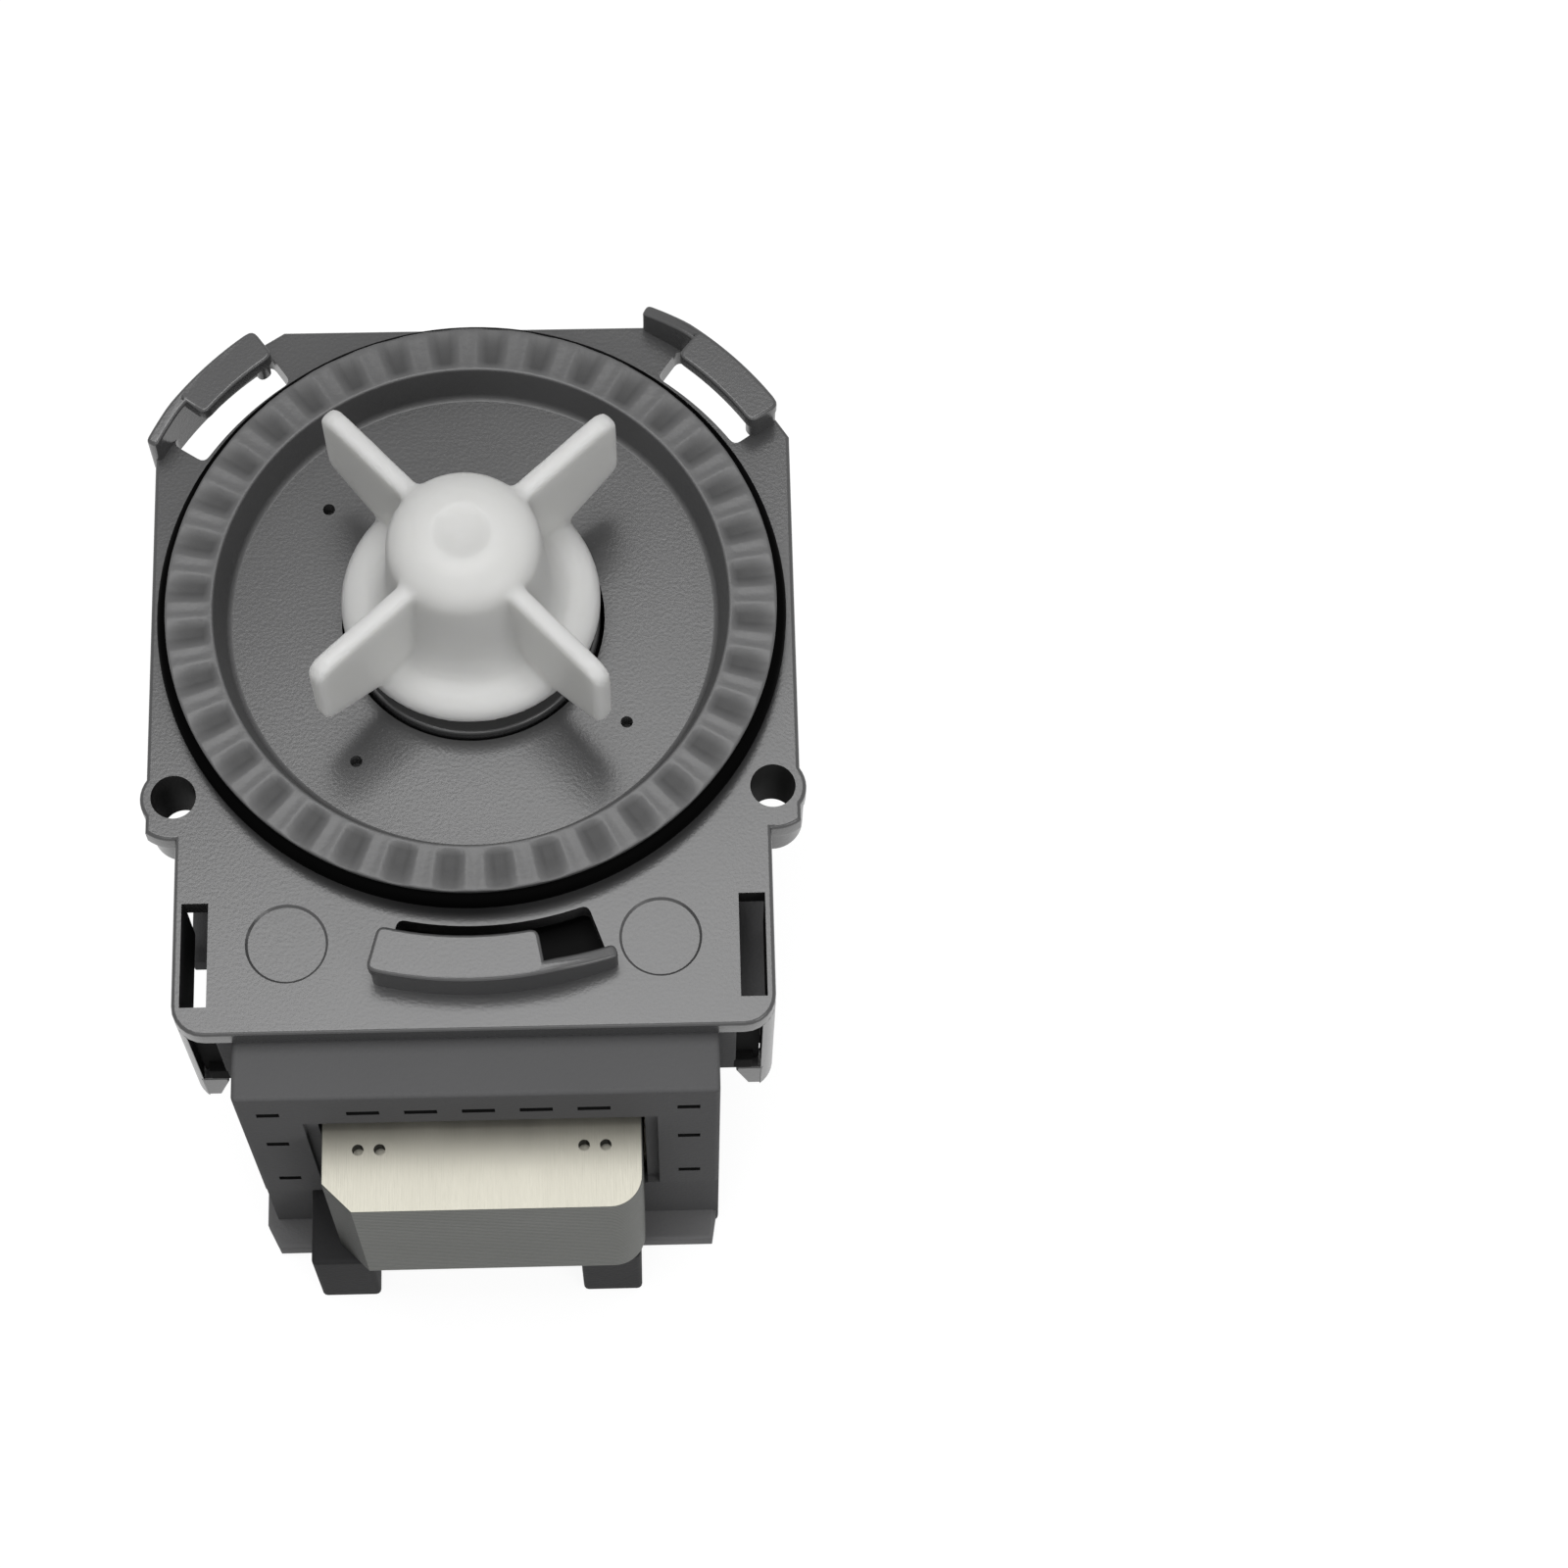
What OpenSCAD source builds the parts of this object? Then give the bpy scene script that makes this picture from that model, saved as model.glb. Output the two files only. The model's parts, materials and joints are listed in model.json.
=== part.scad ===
// Dishwasher drain pump: a bayonet flange with a wet rotor and a U core motor.
// The origin is on the rotor axis, in the sump side face of the flange plate.
// Z points out of the plate towards the impeller, and the yoke sticks out to -Y.

/* [Plate] */
// Full width of the plate beside the boss
plate_w = 71.8; // [70:0.2:76]
// Full width of the plate in front of the screw ears
plate_front_w = 65.2; // [62:0.2:68]
// Distance from the axis to the back edge
plate_back = 36; // [35.5:0.5:40]
// Distance from the axis to the front edge
plate_front = 48; // [46:0.5:52]
// Thickness of the plate
plate_t = 3; // [2:0.1:4]
// Radius of the two front corners
corner_r = 3.5; // [2:0.5:6]
// Depth of the stiffening rim under the back half
rim_h = 5; // [3:0.5:8]
// Wall of the rim and of the ribs
rim_t = 1.6; // [1.2:0.1:2.4]

/* [Boss and seal] */
// Outer radius of the spigot boss
boss_r = 33.8; // [32:0.1:34.4]
// Height of the boss over the plate
boss_h = 4.7; // [4.4:0.1:6]
// Radius of the recess at its floor
recess_r = 27.3; // [25:0.1:28]
// Radius of the recess at its rim
recess_top_r = 28.5; // [28.2:0.1:30]
// Cord diameter of the O-ring
oring_d = 3; // [2.4:0.1:3.2]
// How far the O-ring stands out of the boss
oring_proud = 1.1; // [0.6:0.1:1.3]
// Diameter of the three pin holes in the recess floor
pin_hole_d = 1.3; // [1:0.1:2]
// Depth of the pin holes
pin_hole_depth = 1.5; // [0.5:0.1:2]
// Distance of the pin holes from the axis
pin_circle_r = 21.2; // [18:0.1:24]

/* [Screw holes and slots] */
// Diameter of the screw holes
screw_d = 5; // [4:0.1:5.4]
// Distance of the screw holes from the axis, sideways
screw_x = 32.9; // [32.4:0.1:34]
// Distance of the screw holes from the axis, forwards
screw_y = 20.6; // [18:0.1:22]
// Wall of the ear round a screw hole
ear_wall = 1.2; // [1:0.1:2]
// Length of the sleeve under each ear
ear_sleeve = 8; // [4:0.5:12]
// Radius of the plate's shoulder in front of a screw hole
shoulder_r = 5; // [4:0.1:6]
// Width of the slot behind each snap arm
arm_slot_w = 2.9; // [2:0.1:3.4]
// Length of the slot behind each snap arm
arm_slot_l = 11.8; // [8:0.1:13]
// Thickness of the skirt outside the slot
skirt_t = 0.9; // [0.8:0.1:1.4]
// Depth of the skirt under the plate
skirt_h = 10; // [4:0.5:12]
// Diameter of the two round ejector marks
mark_d = 9; // [6:0.1:10]
// Depth of the ejector marks
mark_depth = 0.15; // [0.1:0.05:0.4]

/* [Bayonet claws] */
// Height of the claws over the plate
claw_h = 5; // [4.6:0.1:6.5]
// Outer radius of the two back claws
claw_r = 42; // [41.5:0.1:43]
// Outer radius of the front claw
front_claw_r = 44; // [43:0.1:45]
// Reach of the back claw roofs towards the axis
claw_reach = 3.6; // [3:0.1:4.2]
// Reach of the front claw roof towards the axis
front_claw_reach = 4.7; // [4:0.1:5.2]
// Thickness of the claw roofs
claw_roof = 1.8; // [1.2:0.1:2.4]
// Thickness of the claw walls
claw_wall = 1.5; // [1.2:0.1:2]
// Gap between the boss and the slots under the claws
claw_slot_gap = 2.4; // [1.5:0.1:3]

/* [Snap arms] */
// Thickness of the two snap arms
arm_t = 2.2; // [1.6:0.1:2.6]
// Length of the snap arms under the plate
arm_l = 22; // [18:0.5:26]
// Width of the snap arms
arm_w = 2.4; // [2:0.1:3.2]
// Reach of the snap barbs
barb = 2; // [1:0.1:2.4]
// Height of the snap barbs
barb_h = 6; // [4:0.1:8]
// Clearance between a barb and what it catches
catch_gap = 0.2; // [0.1:0.05:0.3]

/* [Rear hooks] */
// Thickness of the two hooks behind the core
hook_t = 2.2; // [1.8:0.1:3]
// Reach of the hooks under the core
hook_reach = 2.2; // [1:0.1:3]
// Height of the hooks under the core
hook_h = 3.4; // [2:0.1:5]

/* [Rotor can] */
// Radius of the can mouth
mouth_r = 14.65; // [14:0.05:15.5]
// Depth of the can mouth
mouth_depth = 7; // [6:0.1:8]
// Inner radius of the can
can_r = 11.6; // [11.2:0.1:12]
// Wall of the can
can_wall = 1.2; // [1:0.1:1.4]
// Wall of the pocket that holds the rear bush
pocket_wall = 1.6; // [1.2:0.1:2]
// Wall of the seat collar round the can
collar_wall = 1.6; // [1.2:0.1:2]

/* [Rotor] */
// Diameter of the shaft
shaft_d = 3.5; // [3:0.1:4]
// How far the shaft ends inside the rear bush
shaft_set_back = 0.6; // [0.2:0.1:1.5]
// Length of the shaft in the impeller, over the drive chamber
shaft_in_hub = 4.5; // [3:0.1:5]
// Diameter of the magnet
magnet_d = 21.2; // [18:0.1:22]
// Length of the magnet
magnet_l = 29; // [26:0.5:31]
// Wall of the hub inside the magnet
hub_wall = 2.2; // [1.5:0.1:3]
// Thickness of the flanges that grip the magnet
hub_flange = 1.6; // [1:0.1:2.2]
// Diameter of the hub flanges
hub_flange_d = 19; // [14:0.5:20]
// Outer diameter of the thrust washers
washer_d = 6.8; // [5.5:0.1:7]
// Thickness of the thrust washers
washer_t = 0.7; // [0.4:0.1:1]
// Axial play at each end of the rotor
end_float = 0.3; // [0.2:0.05:0.4]

/* [Bearings] */
// Outer diameter of the bearing bushes
bush_d = 7.2; // [6:0.1:8]
// Length of the rear bush
rear_bush_l = 6.5; // [5:0.5:8]
// Diametral play of the shaft in its bushes
shaft_play = 0.06; // [0.04:0.01:0.1]
// Radial gap round the bearing carrier
carrier_gap = 0.5; // [0.4:0.05:0.8]
// How far the carrier stands over the recess floor
carrier_proud = 0.8; // [0:0.1:1.5]
// Length of the carrier spigot in the can
spigot_l = 2; // [1:0.1:3]
// Thickness of the front wall of the carrier
carrier_web = 3; // [2:0.1:4]
// Wall of the carrier round the front bush
carrier_hub_wall = 1.8; // [1.2:0.1:2.4]
// How far the front bush lies below the face of the carrier
bush_recess = 1.2; // [0.8:0.1:2]
// How far the front bush stands out of the carrier behind
bush_proud = 0.5; // [0.2:0.1:1]
// Cord diameter of the carrier seal
seal_d = 2; // [1.6:0.1:2.4]
// Wall of the rubber damper round the rear bush
damper_wall = 1.4; // [1:0.1:2]
// Clearance between pieces that are pressed or fitted together
fit_gap = 0.03; // [0.01:0.01:0.05]

/* [Stator core] */
// Full width of the core
core_w = 35.4; // [34:0.1:38]
// Thickness of the laminated stack
stack_t = 27; // [22:0.5:30]
// Distance from the plate face to the top of the stack
core_drop = 16.5; // [14:0.1:18]
// Distance from the axis to the front of the yoke
core_front = 63.6; // [61:0.1:66]
// Distance from the axis to the ends of the poles
core_back = 17; // [15:0.1:19]
// Length of the yoke along Y
yoke_l = 13; // [10:0.5:15]
// Width of the window between the legs
window_w = 11.2; // [9:0.1:14]
// Cut of the front left corner
yoke_chamfer = 3.3; // [2:0.1:5]
// Radius of the front right corner
yoke_round = 3.6; // [2:0.1:5]
// Gap between the can and the pole bore
pole_gap = 0.4; // [0.2:0.1:0.6]
// Extra depth of the starting notch in each pole
pole_notch = 0.8; // [0.4:0.1:1.2]
// Diameter of the interlock dimples
dimple_d = 1.3; // [0.8:0.1:2]
// Depth of the interlock dimples
dimple_depth = 0.5; // [0.2:0.1:1]
// Distance of the interlock dimples from the front of the yoke
dimple_y = 7.1; // [5:0.1:8]
// Distance of the interlock pairs from the middle of the yoke
dimple_x = 12.5; // [10:0.1:14]
// Spacing of the two dimples of a pair
dimple_pitch = 2.4; // [2:0.1:3]

/* [Coils] */
// Clearance between a bobbin and its leg
bobbin_gap = 0.2; // [0.1:0.05:0.3]
// Wall of the bobbin tube
bobbin_wall = 1; // [0.8:0.1:1.2]
// Thickness of the bobbin flanges
bobbin_flange = 1.2; // [0.8:0.1:1.8]
// Length of the bobbins
bobbin_l = 29; // [26:0.5:30]
// Gap between the two bobbins in the window
bobbin_space = 0.4; // [0.2:0.1:0.8]
// How far the bobbin flanges stand over the winding
flange_lip = 0.3; // [0.2:0.1:0.4]
// Diameter of the thermal fuse
fuse_d = 3; // [2:0.1:3.4]
// Length of the thermal fuse
fuse_l = 10; // [6:0.5:12]
// Distance from the front of the bobbins back to the thermal fuse
fuse_back = 11.6; // [6:0.1:14]
// Diameter of the wire that links the coils
link_d = 1; // [0.6:0.1:1.4]
// Distance from the front of the bobbins back to the linking wire
link_back = 21.8; // [18:0.1:26]
// Gap between the bobbins and the yoke
yoke_space = 0.3; // [0.1:0.1:1]

/* [Housing] */
// Room between the bobbins and the walls of the housing
coil_room = 1.3; // [0.6:0.1:2]
// How far the yoke stands out of the front wall
yoke_out = 9.2; // [8:0.1:10]
// How far the housing reaches past the bobbins at the back
housing_over = 1.8; // [0.5:0.1:4]
// Gap between the plate and the housing
housing_gap = 0.4; // [0.2:0.1:0.8]
// Height of the housing
housing_h = 56.6; // [55:0.2:60]
// Wall of the housing
housing_wall = 2; // [1.6:0.1:2.4]
// Height of the base flange
base_h = 2.8; // [2:0.1:4]
// Reach of the base flange in front of the wall
base_reach = 2.9; // [1:0.1:4]
// Reach of the base flange past the left wall
base_side = 1.3; // [0.5:0.1:2]
// Cut of the left corner of the base flange
base_cut = 3; // [1:0.1:4]
// Taper of the right end of the base flange
base_taper = 0.8; // [0.2:0.1:2]
// Distance from the top of the housing to the step in its front wall
step_drop = 37.7; // [30:0.1:44]
// Depth of the step in the front wall
step_depth = 0.7; // [0.3:0.1:1]
// Gap round the yoke in its opening
yoke_gap = 0.4; // [0.2:0.1:0.8]
// Width of the recessed panel round the yoke opening
panel_border = 1.4; // [1:0.1:3]
// Depth of the recessed panel
panel_depth = 0.9; // [0.4:0.1:1.2]
// Height of the side lugs that the snap arms catch
lug_h = 3; // [2:0.1:4]
// Length of the side lugs
lug_l = 20; // [14:0.5:24]
// Width of the two feet under the yoke
foot_w = 7; // [5:0.1:8]
// Distance from the middle to the inner side of the left foot
left_foot_x = 14.2; // [12:0.1:15]
// Distance from the middle to the inner side of the right foot
right_foot_x = 10.1; // [9:0.1:15]
// Distance from the front of the yoke back to the front of the feet
foot_back = 1; // [0.5:0.1:3]
// Length of the small slots beside the yoke
vent_w = 2.5; // [1.5:0.1:3]
// Height of the small slots
vent_h = 0.9; // [0.5:0.1:1.2]
// Depth of the small slots
vent_depth = 1.2; // [0.5:0.1:1.4]
// Width of the five slots in the row above the yoke
row_w = 3.6; // [2:0.1:4.6]
// Spacing of the slots in the row
row_pitch = 6.3; // [5:0.1:7]
// Height of the row over the yoke opening
row_rise = 6.6; // [3:0.1:8]

/* [Terminals] */
// Width of the connector tabs
tab_w = 6.3; // [4.8:0.1:6.5]
// Thickness of the connector tabs
tab_t = 0.8; // [0.6:0.1:1]
// Length of the connector tabs
tab_l = 8; // [6:0.1:8.4]
// Distance from the front of the bobbins back to the tabs
tab_back = 4.2; // [3:0.1:5]
// How far the tabs end inside the socket
tab_sunk = 1; // [0.5:0.1:2]
// Length of the tabs in their boots
tab_grip = 1.5; // [1:0.1:3]
// Wall of the boots that hold the tabs
boot_wall = 1.1; // [0.8:0.1:2]
// Wall of the connector socket
socket_wall = 1.5; // [1:0.1:2]
// Distance between the two tabs
tab_pitch = 14; // [12:0.5:16]
// Width of the connector socket
socket_w = 26; // [24:0.5:30]
// Length of the connector socket
socket_l = 10; // [9:0.1:11]

/* [Impeller] */
// Outer radius of the blades
blade_r = 21.9; // [20:0.1:23]
// Thickness of the blades
blade_t = 2.2; // [1.4:0.1:2.6]
// Height of the blade tops over the recess floor
blade_top = 21.5; // [17.5:0.1:22]
// Height of the blade tips from their lower to their upper edge
blade_tip_h = 13.4; // [8:0.1:14]
// Number of blades
blade_n = 4; // [3:1:6]
// Angle of the first blade
blade_angle = 43; // [0:1:89]
// Radius of the blade corners
blade_round = 2.2; // [1:0.1:3]
// Radius of the base disc
disc_r = 14.35; // [13:0.05:15.5]
// Height of the base disc over the recess floor
disc_z = 4.4; // [4:0.1:5]
// Thickness of the disc at its rim
disc_t = 0.7; // [0.5:0.1:1.2]
// Height of the disc's shoulder over its rim
shoulder_h = 2.4; // [1.5:0.1:3]
// Reach of the disc's rounded shoulder from the rim inwards
shoulder_w = 3; // [2:0.1:3.4]
// Radius of the fillet between the disc and the boss
boss_fillet = 2.4; // [1:0.1:2.6]
// Radius of the impeller boss
hub_r = 8.4; // [8:0.1:8.8]
// Height of the top of the impeller boss
hub_top = 24; // [23:0.1:25.5]
// Radius of the rounded edge on top of the boss
dome_r = 3.6; // [2:0.1:5]
// Radius of the chamber inside the boss
chamber_r = 6; // [5.6:0.1:6.4]
// Thickness of the cover that closes the chamber
cover_t = 1.6; // [1.2:0.1:2]
// Ledge of the impeller that the cover sits on
cover_ledge = 1; // [0.6:0.1:1.6]
// How far the cover lies inside the base disc
cover_set = 0.2; // [0.1:0.05:0.4]
// Diametral play of the impeller on the shaft
impeller_play = 0.1; // [0.06:0.01:0.2]
// Height of the drive dog
dog_h = 7.6; // [6:0.1:8]
// Wall of the drive dog round the shaft
dog_wall = 1; // [0.8:0.1:1.4]
// Angle from the middle of the drive dog to its sides
dog_angle = 42; // [30:1:46]
// Angle from the middle of the rubber bumper to its ends
bumper_angle = 44; // [36:1:44]
// Angle of the rubber at each end of the bumper
bumper_end_angle = 16; // [8:1:20]
// Thickness of the rubber on the stop
bumper_t = 1; // [0.8:0.1:1.4]
// Play between the drive dog and the chamber
dog_gap = 0.4; // [0.3:0.05:0.6]

/* [Hidden] */
$fn = 96;
// A small overlap that keeps cuts and joined shapes from sharing a face
eps = 0.02;
// Longer than anything that it cuts
far = 200;

plate_half = plate_w / 2;
front_half = plate_front_w / 2;
pin_angles = [140, 232.5, 323];
mark_x = 20.25;
mark_y = 37.8;
ear_r = screw_d / 2 + ear_wall;

// Each claw: where its end stop and roof start, where its roof ends and where its wall ends
claw_angles = [[126, 142, 150.5], [34, 52, 61.5], [255, 280.5, 291]];
claw_radii = [claw_r, claw_r, front_claw_r];
claw_reaches = [claw_reach, claw_reach, front_claw_reach];
// Where the slot under each claw starts and ends
claw_slots = [[125, 147], [35, 54.5], [256.8, 290]];
claw_slot_r = boss_r + claw_slot_gap;
// What is left of the plate past each end of the slot
claw_slot_end = 1.3;
// What a claw's end stop takes
claw_stop_angle = 2.2;

// The O-ring and its groove in the side of the boss
oring_r = boss_r + oring_proud - oring_d / 2;
oring_z = boss_h / 2;
groove_w = oring_d + 0.3;
groove_r = oring_r - oring_d / 2 - fit_gap;

// Heights along the rotor axis
core_top = -core_drop;
core_bottom = core_top - stack_t;
housing_top = -plate_t - housing_gap;
base_z = housing_top - housing_h;
magnet_top = (core_top + core_bottom) / 2 + magnet_l / 2;
magnet_bottom = magnet_top - magnet_l;
shaft_r = shaft_d / 2;
bush_r = bush_d / 2;
bush_bore = shaft_r + shaft_play / 2;
carrier_r = mouth_r - carrier_gap;
carrier_bottom = -mouth_depth - spigot_l;
carrier_hub_r = bush_r + carrier_hub_wall;
front_bush_top = carrier_proud - bush_recess;
front_bush_bottom = carrier_bottom - bush_proud;
front_washer_top = front_bush_bottom - end_float;
hub_front = front_washer_top - washer_t - fit_gap;
hub_rear = magnet_bottom - hub_flange;
rear_washer_bottom = hub_rear - fit_gap - washer_t;
rear_bush_top = rear_washer_bottom - end_float;
chamber_bottom = rear_bush_top;
damper_r = bush_r + damper_wall;
damper_bottom = rear_bush_top - rear_bush_l - damper_wall;
pocket_r = damper_r + fit_gap;
shaft_bottom = rear_bush_top - rear_bush_l + shaft_set_back;
can_out = can_r + can_wall;
collar_r = mouth_r + collar_wall;
seal_r = mouth_r - fit_gap - seal_d / 2;
seal_z = -mouth_depth / 2 - 1;

// The drive inside the impeller boss
cover_r = chamber_r + cover_ledge;
cover_z = disc_z + cover_set;
chamber_z = cover_z + cover_t;
chamber_top = chamber_z + dog_h + 2 * dog_gap;
shaft_top = chamber_top + shaft_in_hub;
shaft_bore_top = shaft_top + dog_gap;
running_r = shaft_r + impeller_play / 2;
dog_z = chamber_z + dog_gap;
dog_hub_r = shaft_r + dog_wall;
dog_r = chamber_r - dog_gap;
bumper_in_r = dog_hub_r + dog_gap;
stop_r = bumper_in_r + bumper_t;
stop_angle = bumper_angle - bumper_end_angle;
rim_z = disc_z + disc_t;
shoulder_z = rim_z + shoulder_h;

// The core and the coils
core_half = core_w / 2;
leg_in = window_w / 2;
pole_r = can_out + pole_gap;
leg_w = core_half - leg_in;
leg_mid = leg_in + leg_w / 2;
tube_gap = bobbin_gap + bobbin_wall;
flange_out = leg_in - bobbin_space / 2;
coil_out = flange_out - flange_lip;
bobbin_front = -core_front + yoke_l + yoke_space;
notch_angle = 22;
bobbin_back = bobbin_front + bobbin_l;
coil_top = core_top + coil_out;
coil_bottom = core_bottom - coil_out;
fuse_y = bobbin_front + fuse_back;
link_y = bobbin_front + link_back;

// The housing
housing_front = core_front - yoke_out;
housing_half = core_half + flange_out + coil_room + housing_wall;
inner_half = housing_half - housing_wall;
housing_back = bobbin_back + housing_over;
opening_half = core_half + yoke_gap;
opening_top = core_top + 2 * yoke_gap;
panel_half = opening_half + panel_border;
panel_top = opening_top + 2 * panel_border;
step_z = housing_top - step_drop;
base_top = base_z + base_h;
// The base flange also passes the left wall, over this length from the front
base_left = -housing_half - base_side;
base_side_l = 10;
foot_top = core_bottom - catch_gap;
foot_front = -core_front + foot_back;
vent_x = (panel_half + housing_half) / 2;
vent_drops = [5.9, 17.5, 32.1];
row_z = opening_top + row_rise;
arm_in = front_half - arm_t;
arm_z = -plate_t - arm_l;
arm_front = -plate_front + 0.7;
arm_back = arm_front + arm_w;
slot_out = front_half - skirt_t;
slot_front = arm_back + 0.1;
slot_back = slot_front + arm_slot_l;
lug_z = arm_z + barb_h + catch_gap;
lug_out = arm_in - catch_gap;
shelf_out = slot_out - catch_gap;
socket_y = bobbin_front + tab_back;
socket_top = base_z + tab_l + tab_sunk;
tab_x = tab_pitch / 2;
boot_w = tab_w + 2 * boot_wall;
hook_x = leg_mid;
hook_w = leg_w / 2;
hook_y = core_back + catch_gap;

plastic_grey = [0.5, 0.5, 0.51];
plastic_dark = [0.28, 0.28, 0.29];
rubber_black = [0.05, 0.05, 0.05];
steel = [0.75, 0.75, 0.74];
carbon = [0.15, 0.15, 0.16];

// A slice of a ring between two radii and two angles, as a flat shape
module ring_sector(r_in, r_out, a0, a1) {
    steps = 4;
    intersection() {
        difference() {
            circle(r_out);
            circle(r_in);
        }
        polygon(concat([[0, 0]], [for (i = [0:steps])
            let(a = a0 + (a1 - a0) * i / steps) 2 * r_out * [cos(a), sin(a)]]));
    }
}

// A rectangle between two corners, as a flat shape
module rect(x0, y0, x1, y1) {
    translate([x0, y0]) square([x1 - x0, y1 - y0]);
}

// A block between two corners
module block(p, q) {
    translate(p) cube(q - p);
}

// A tube or, with r_in of 0, a rod between two heights
module tube(r_out, r_in, z0, z1) {
    translate([0, 0, z0]) difference() {
        cylinder(r = r_out, h = z1 - z0);
        if (r_in > 0) translate([0, 0, -1]) cylinder(r = r_in, h = z1 - z0 + 2);
    }
}

module both_sides() {
    children();
    mirror([1, 0, 0]) children();
}

// The plate seen along the axis, without its holes
module plate_outline() {
    intersection() {
        rect(-plate_half, -screw_y, plate_half, plate_back);
        circle(claw_r);
    }
    rect(-front_half, -plate_front + corner_r, front_half, -screw_y);
    rect(-front_half + corner_r, -plate_front, front_half - corner_r, -screw_y);
    both_sides() {
        translate([front_half - corner_r, -plate_front + corner_r]) circle(corner_r);
        translate([screw_x, -screw_y]) circle(ear_r);
        // The round shoulder from the wide back part to the narrower front part
        intersection() {
            translate([screw_x, -screw_y]) circle(shoulder_r);
            rect(front_half - 1, -far, plate_half, -screw_y + 1);
        }
    }
    // The plate reaches out under each claw, past both ends of its slot
    for (i = [0:2]) ring_sector(boss_r - 1, claw_radii[i] - claw_wall / 2, claw_slots[i][0] - claw_slot_end,
                                claw_slots[i][1] + claw_slot_end);
}

// The slot under a claw, cut through the plate
module claw_slot(i) {
    translate([0, 0, -plate_t - 1]) linear_extrude(plate_t + 1 + eps)
        ring_sector(claw_slot_r, claw_radii[i] - claw_wall + 5 * eps, claw_slots[i][0], claw_slots[i][1]);
}

// The wall, roof and end stop of a claw
module claw(i) {
    r = claw_radii[i];
    start = claw_angles[i][0];
    translate([0, 0, -plate_t]) linear_extrude(plate_t + claw_h)
        ring_sector(r - claw_wall, r, start, claw_angles[i][2]);
    linear_extrude(claw_h) ring_sector(r - claw_reaches[i], r, start, start + claw_stop_angle);
    translate([0, 0, claw_h - claw_roof]) linear_extrude(claw_roof)
        ring_sector(r - claw_reaches[i], r, start, claw_angles[i][1]);
}

// An arm under the front corner with a barb that points to the middle, and a skirt behind it
module snap_arm() {
    barb_top = arm_z + barb_h;
    intersection() {
        translate([0, 0, arm_z]) linear_extrude(arm_l + eps) plate_outline();
        union() {
            block([arm_in, arm_front, arm_z], [front_half, arm_back, -plate_t + eps]);
            block([slot_out, arm_back - eps, -plate_t - skirt_h],
                  [front_half, slot_back + 1, -plate_t + eps]);
        }
    }
    translate([0, arm_back, 0]) rotate([90, 0, 0]) linear_extrude(arm_w)
        polygon([[arm_in + eps, arm_z], [arm_in - barb / 2, arm_z], [arm_in - barb, barb_top - 1],
                 [arm_in - barb, barb_top], [arm_in + eps, barb_top]]);
}

// A hook behind the core that catches the end of one leg from below
module rear_hook() {
    hook_z = core_bottom - catch_gap;
    translate([hook_x - hook_w / 2, 0, 0]) rotate([90, 0, 90]) linear_extrude(hook_w)
        polygon([[hook_y, -plate_t + eps], [hook_y, hook_z], [hook_y - hook_reach, hook_z],
                 [hook_y - hook_reach, hook_z - hook_h / 3], [hook_y, hook_z - hook_h],
                 [hook_y + hook_t, hook_z - hook_h], [hook_y + hook_t, -plate_t + eps]]);
}

module stiffening_rim() {
    inner = plate_half - rim_t;
    translate([0, 0, -plate_t - rim_h]) linear_extrude(rim_h + eps) {
        intersection() {
            difference() {
                rect(-plate_half, -screw_y + ear_r + 1, plate_half, plate_back);
                rect(-inner, -far, inner, plate_back - rim_t);
            }
            circle(claw_r - claw_wall - 0.6);
        }
        for (a = [30, 90, 150]) rotate(a)
            rect(collar_r - 1, -rim_t / 2, claw_slot_r - 1.2, rim_t / 2);
    }
}

module flange_plate() color(plastic_grey) difference() {
    union() {
        translate([0, 0, -plate_t]) linear_extrude(plate_t) plate_outline();
        difference() {
            cylinder(r = boss_r, h = boss_h);
            translate([0, 0, oring_z - groove_w / 2]) linear_extrude(groove_w) difference() {
                circle(boss_r + 1);
                circle(groove_r);
            }
        }
        for (i = [0:2]) claw(i);
        both_sides() {
            snap_arm();
            rear_hook();
            translate([screw_x, -screw_y]) tube(ear_r - 0.2, 0, -plate_t - ear_sleeve, -plate_t / 2);
        }
        stiffening_rim();
        tube(collar_r, can_out, -mouth_depth - can_wall, -plate_t + eps);
        tube(collar_r, mouth_r, core_top, -mouth_depth);
        tube(can_out, can_r, chamber_bottom, -mouth_depth);
        tube(can_out, pocket_r, chamber_bottom - can_wall, chamber_bottom + eps);
        tube(pocket_r + pocket_wall, pocket_r, base_z, chamber_bottom);
        tube(pocket_r + eps, 0, base_z, damper_bottom - fit_gap);
    }
    cylinder(r1 = recess_r, r2 = recess_top_r + eps, h = boss_h + eps);
    translate([0, 0, -mouth_depth]) cylinder(r = mouth_r, h = mouth_depth + boss_h);
    translate([0, 0, chamber_bottom]) cylinder(r = can_r, h = far);
    for (a = pin_angles) rotate(a) translate([pin_circle_r, 0, -pin_hole_depth])
        cylinder(d = pin_hole_d, h = pin_hole_depth + 1);
    for (i = [0:2]) claw_slot(i);
    both_sides() {
        translate([screw_x, -screw_y, -far]) cylinder(d = screw_d, h = far + 1);
        translate([mark_x, -mark_y, -mark_depth]) cylinder(d = mark_d, h = 1);
        block([slot_out - arm_slot_w, slot_front, -far], [slot_out, slot_back, 1]);
    }
}

module o_ring() color(rubber_black)
    translate([0, 0, oring_z]) rotate_extrude() translate([oring_r, 0]) circle(d = oring_d);

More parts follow.
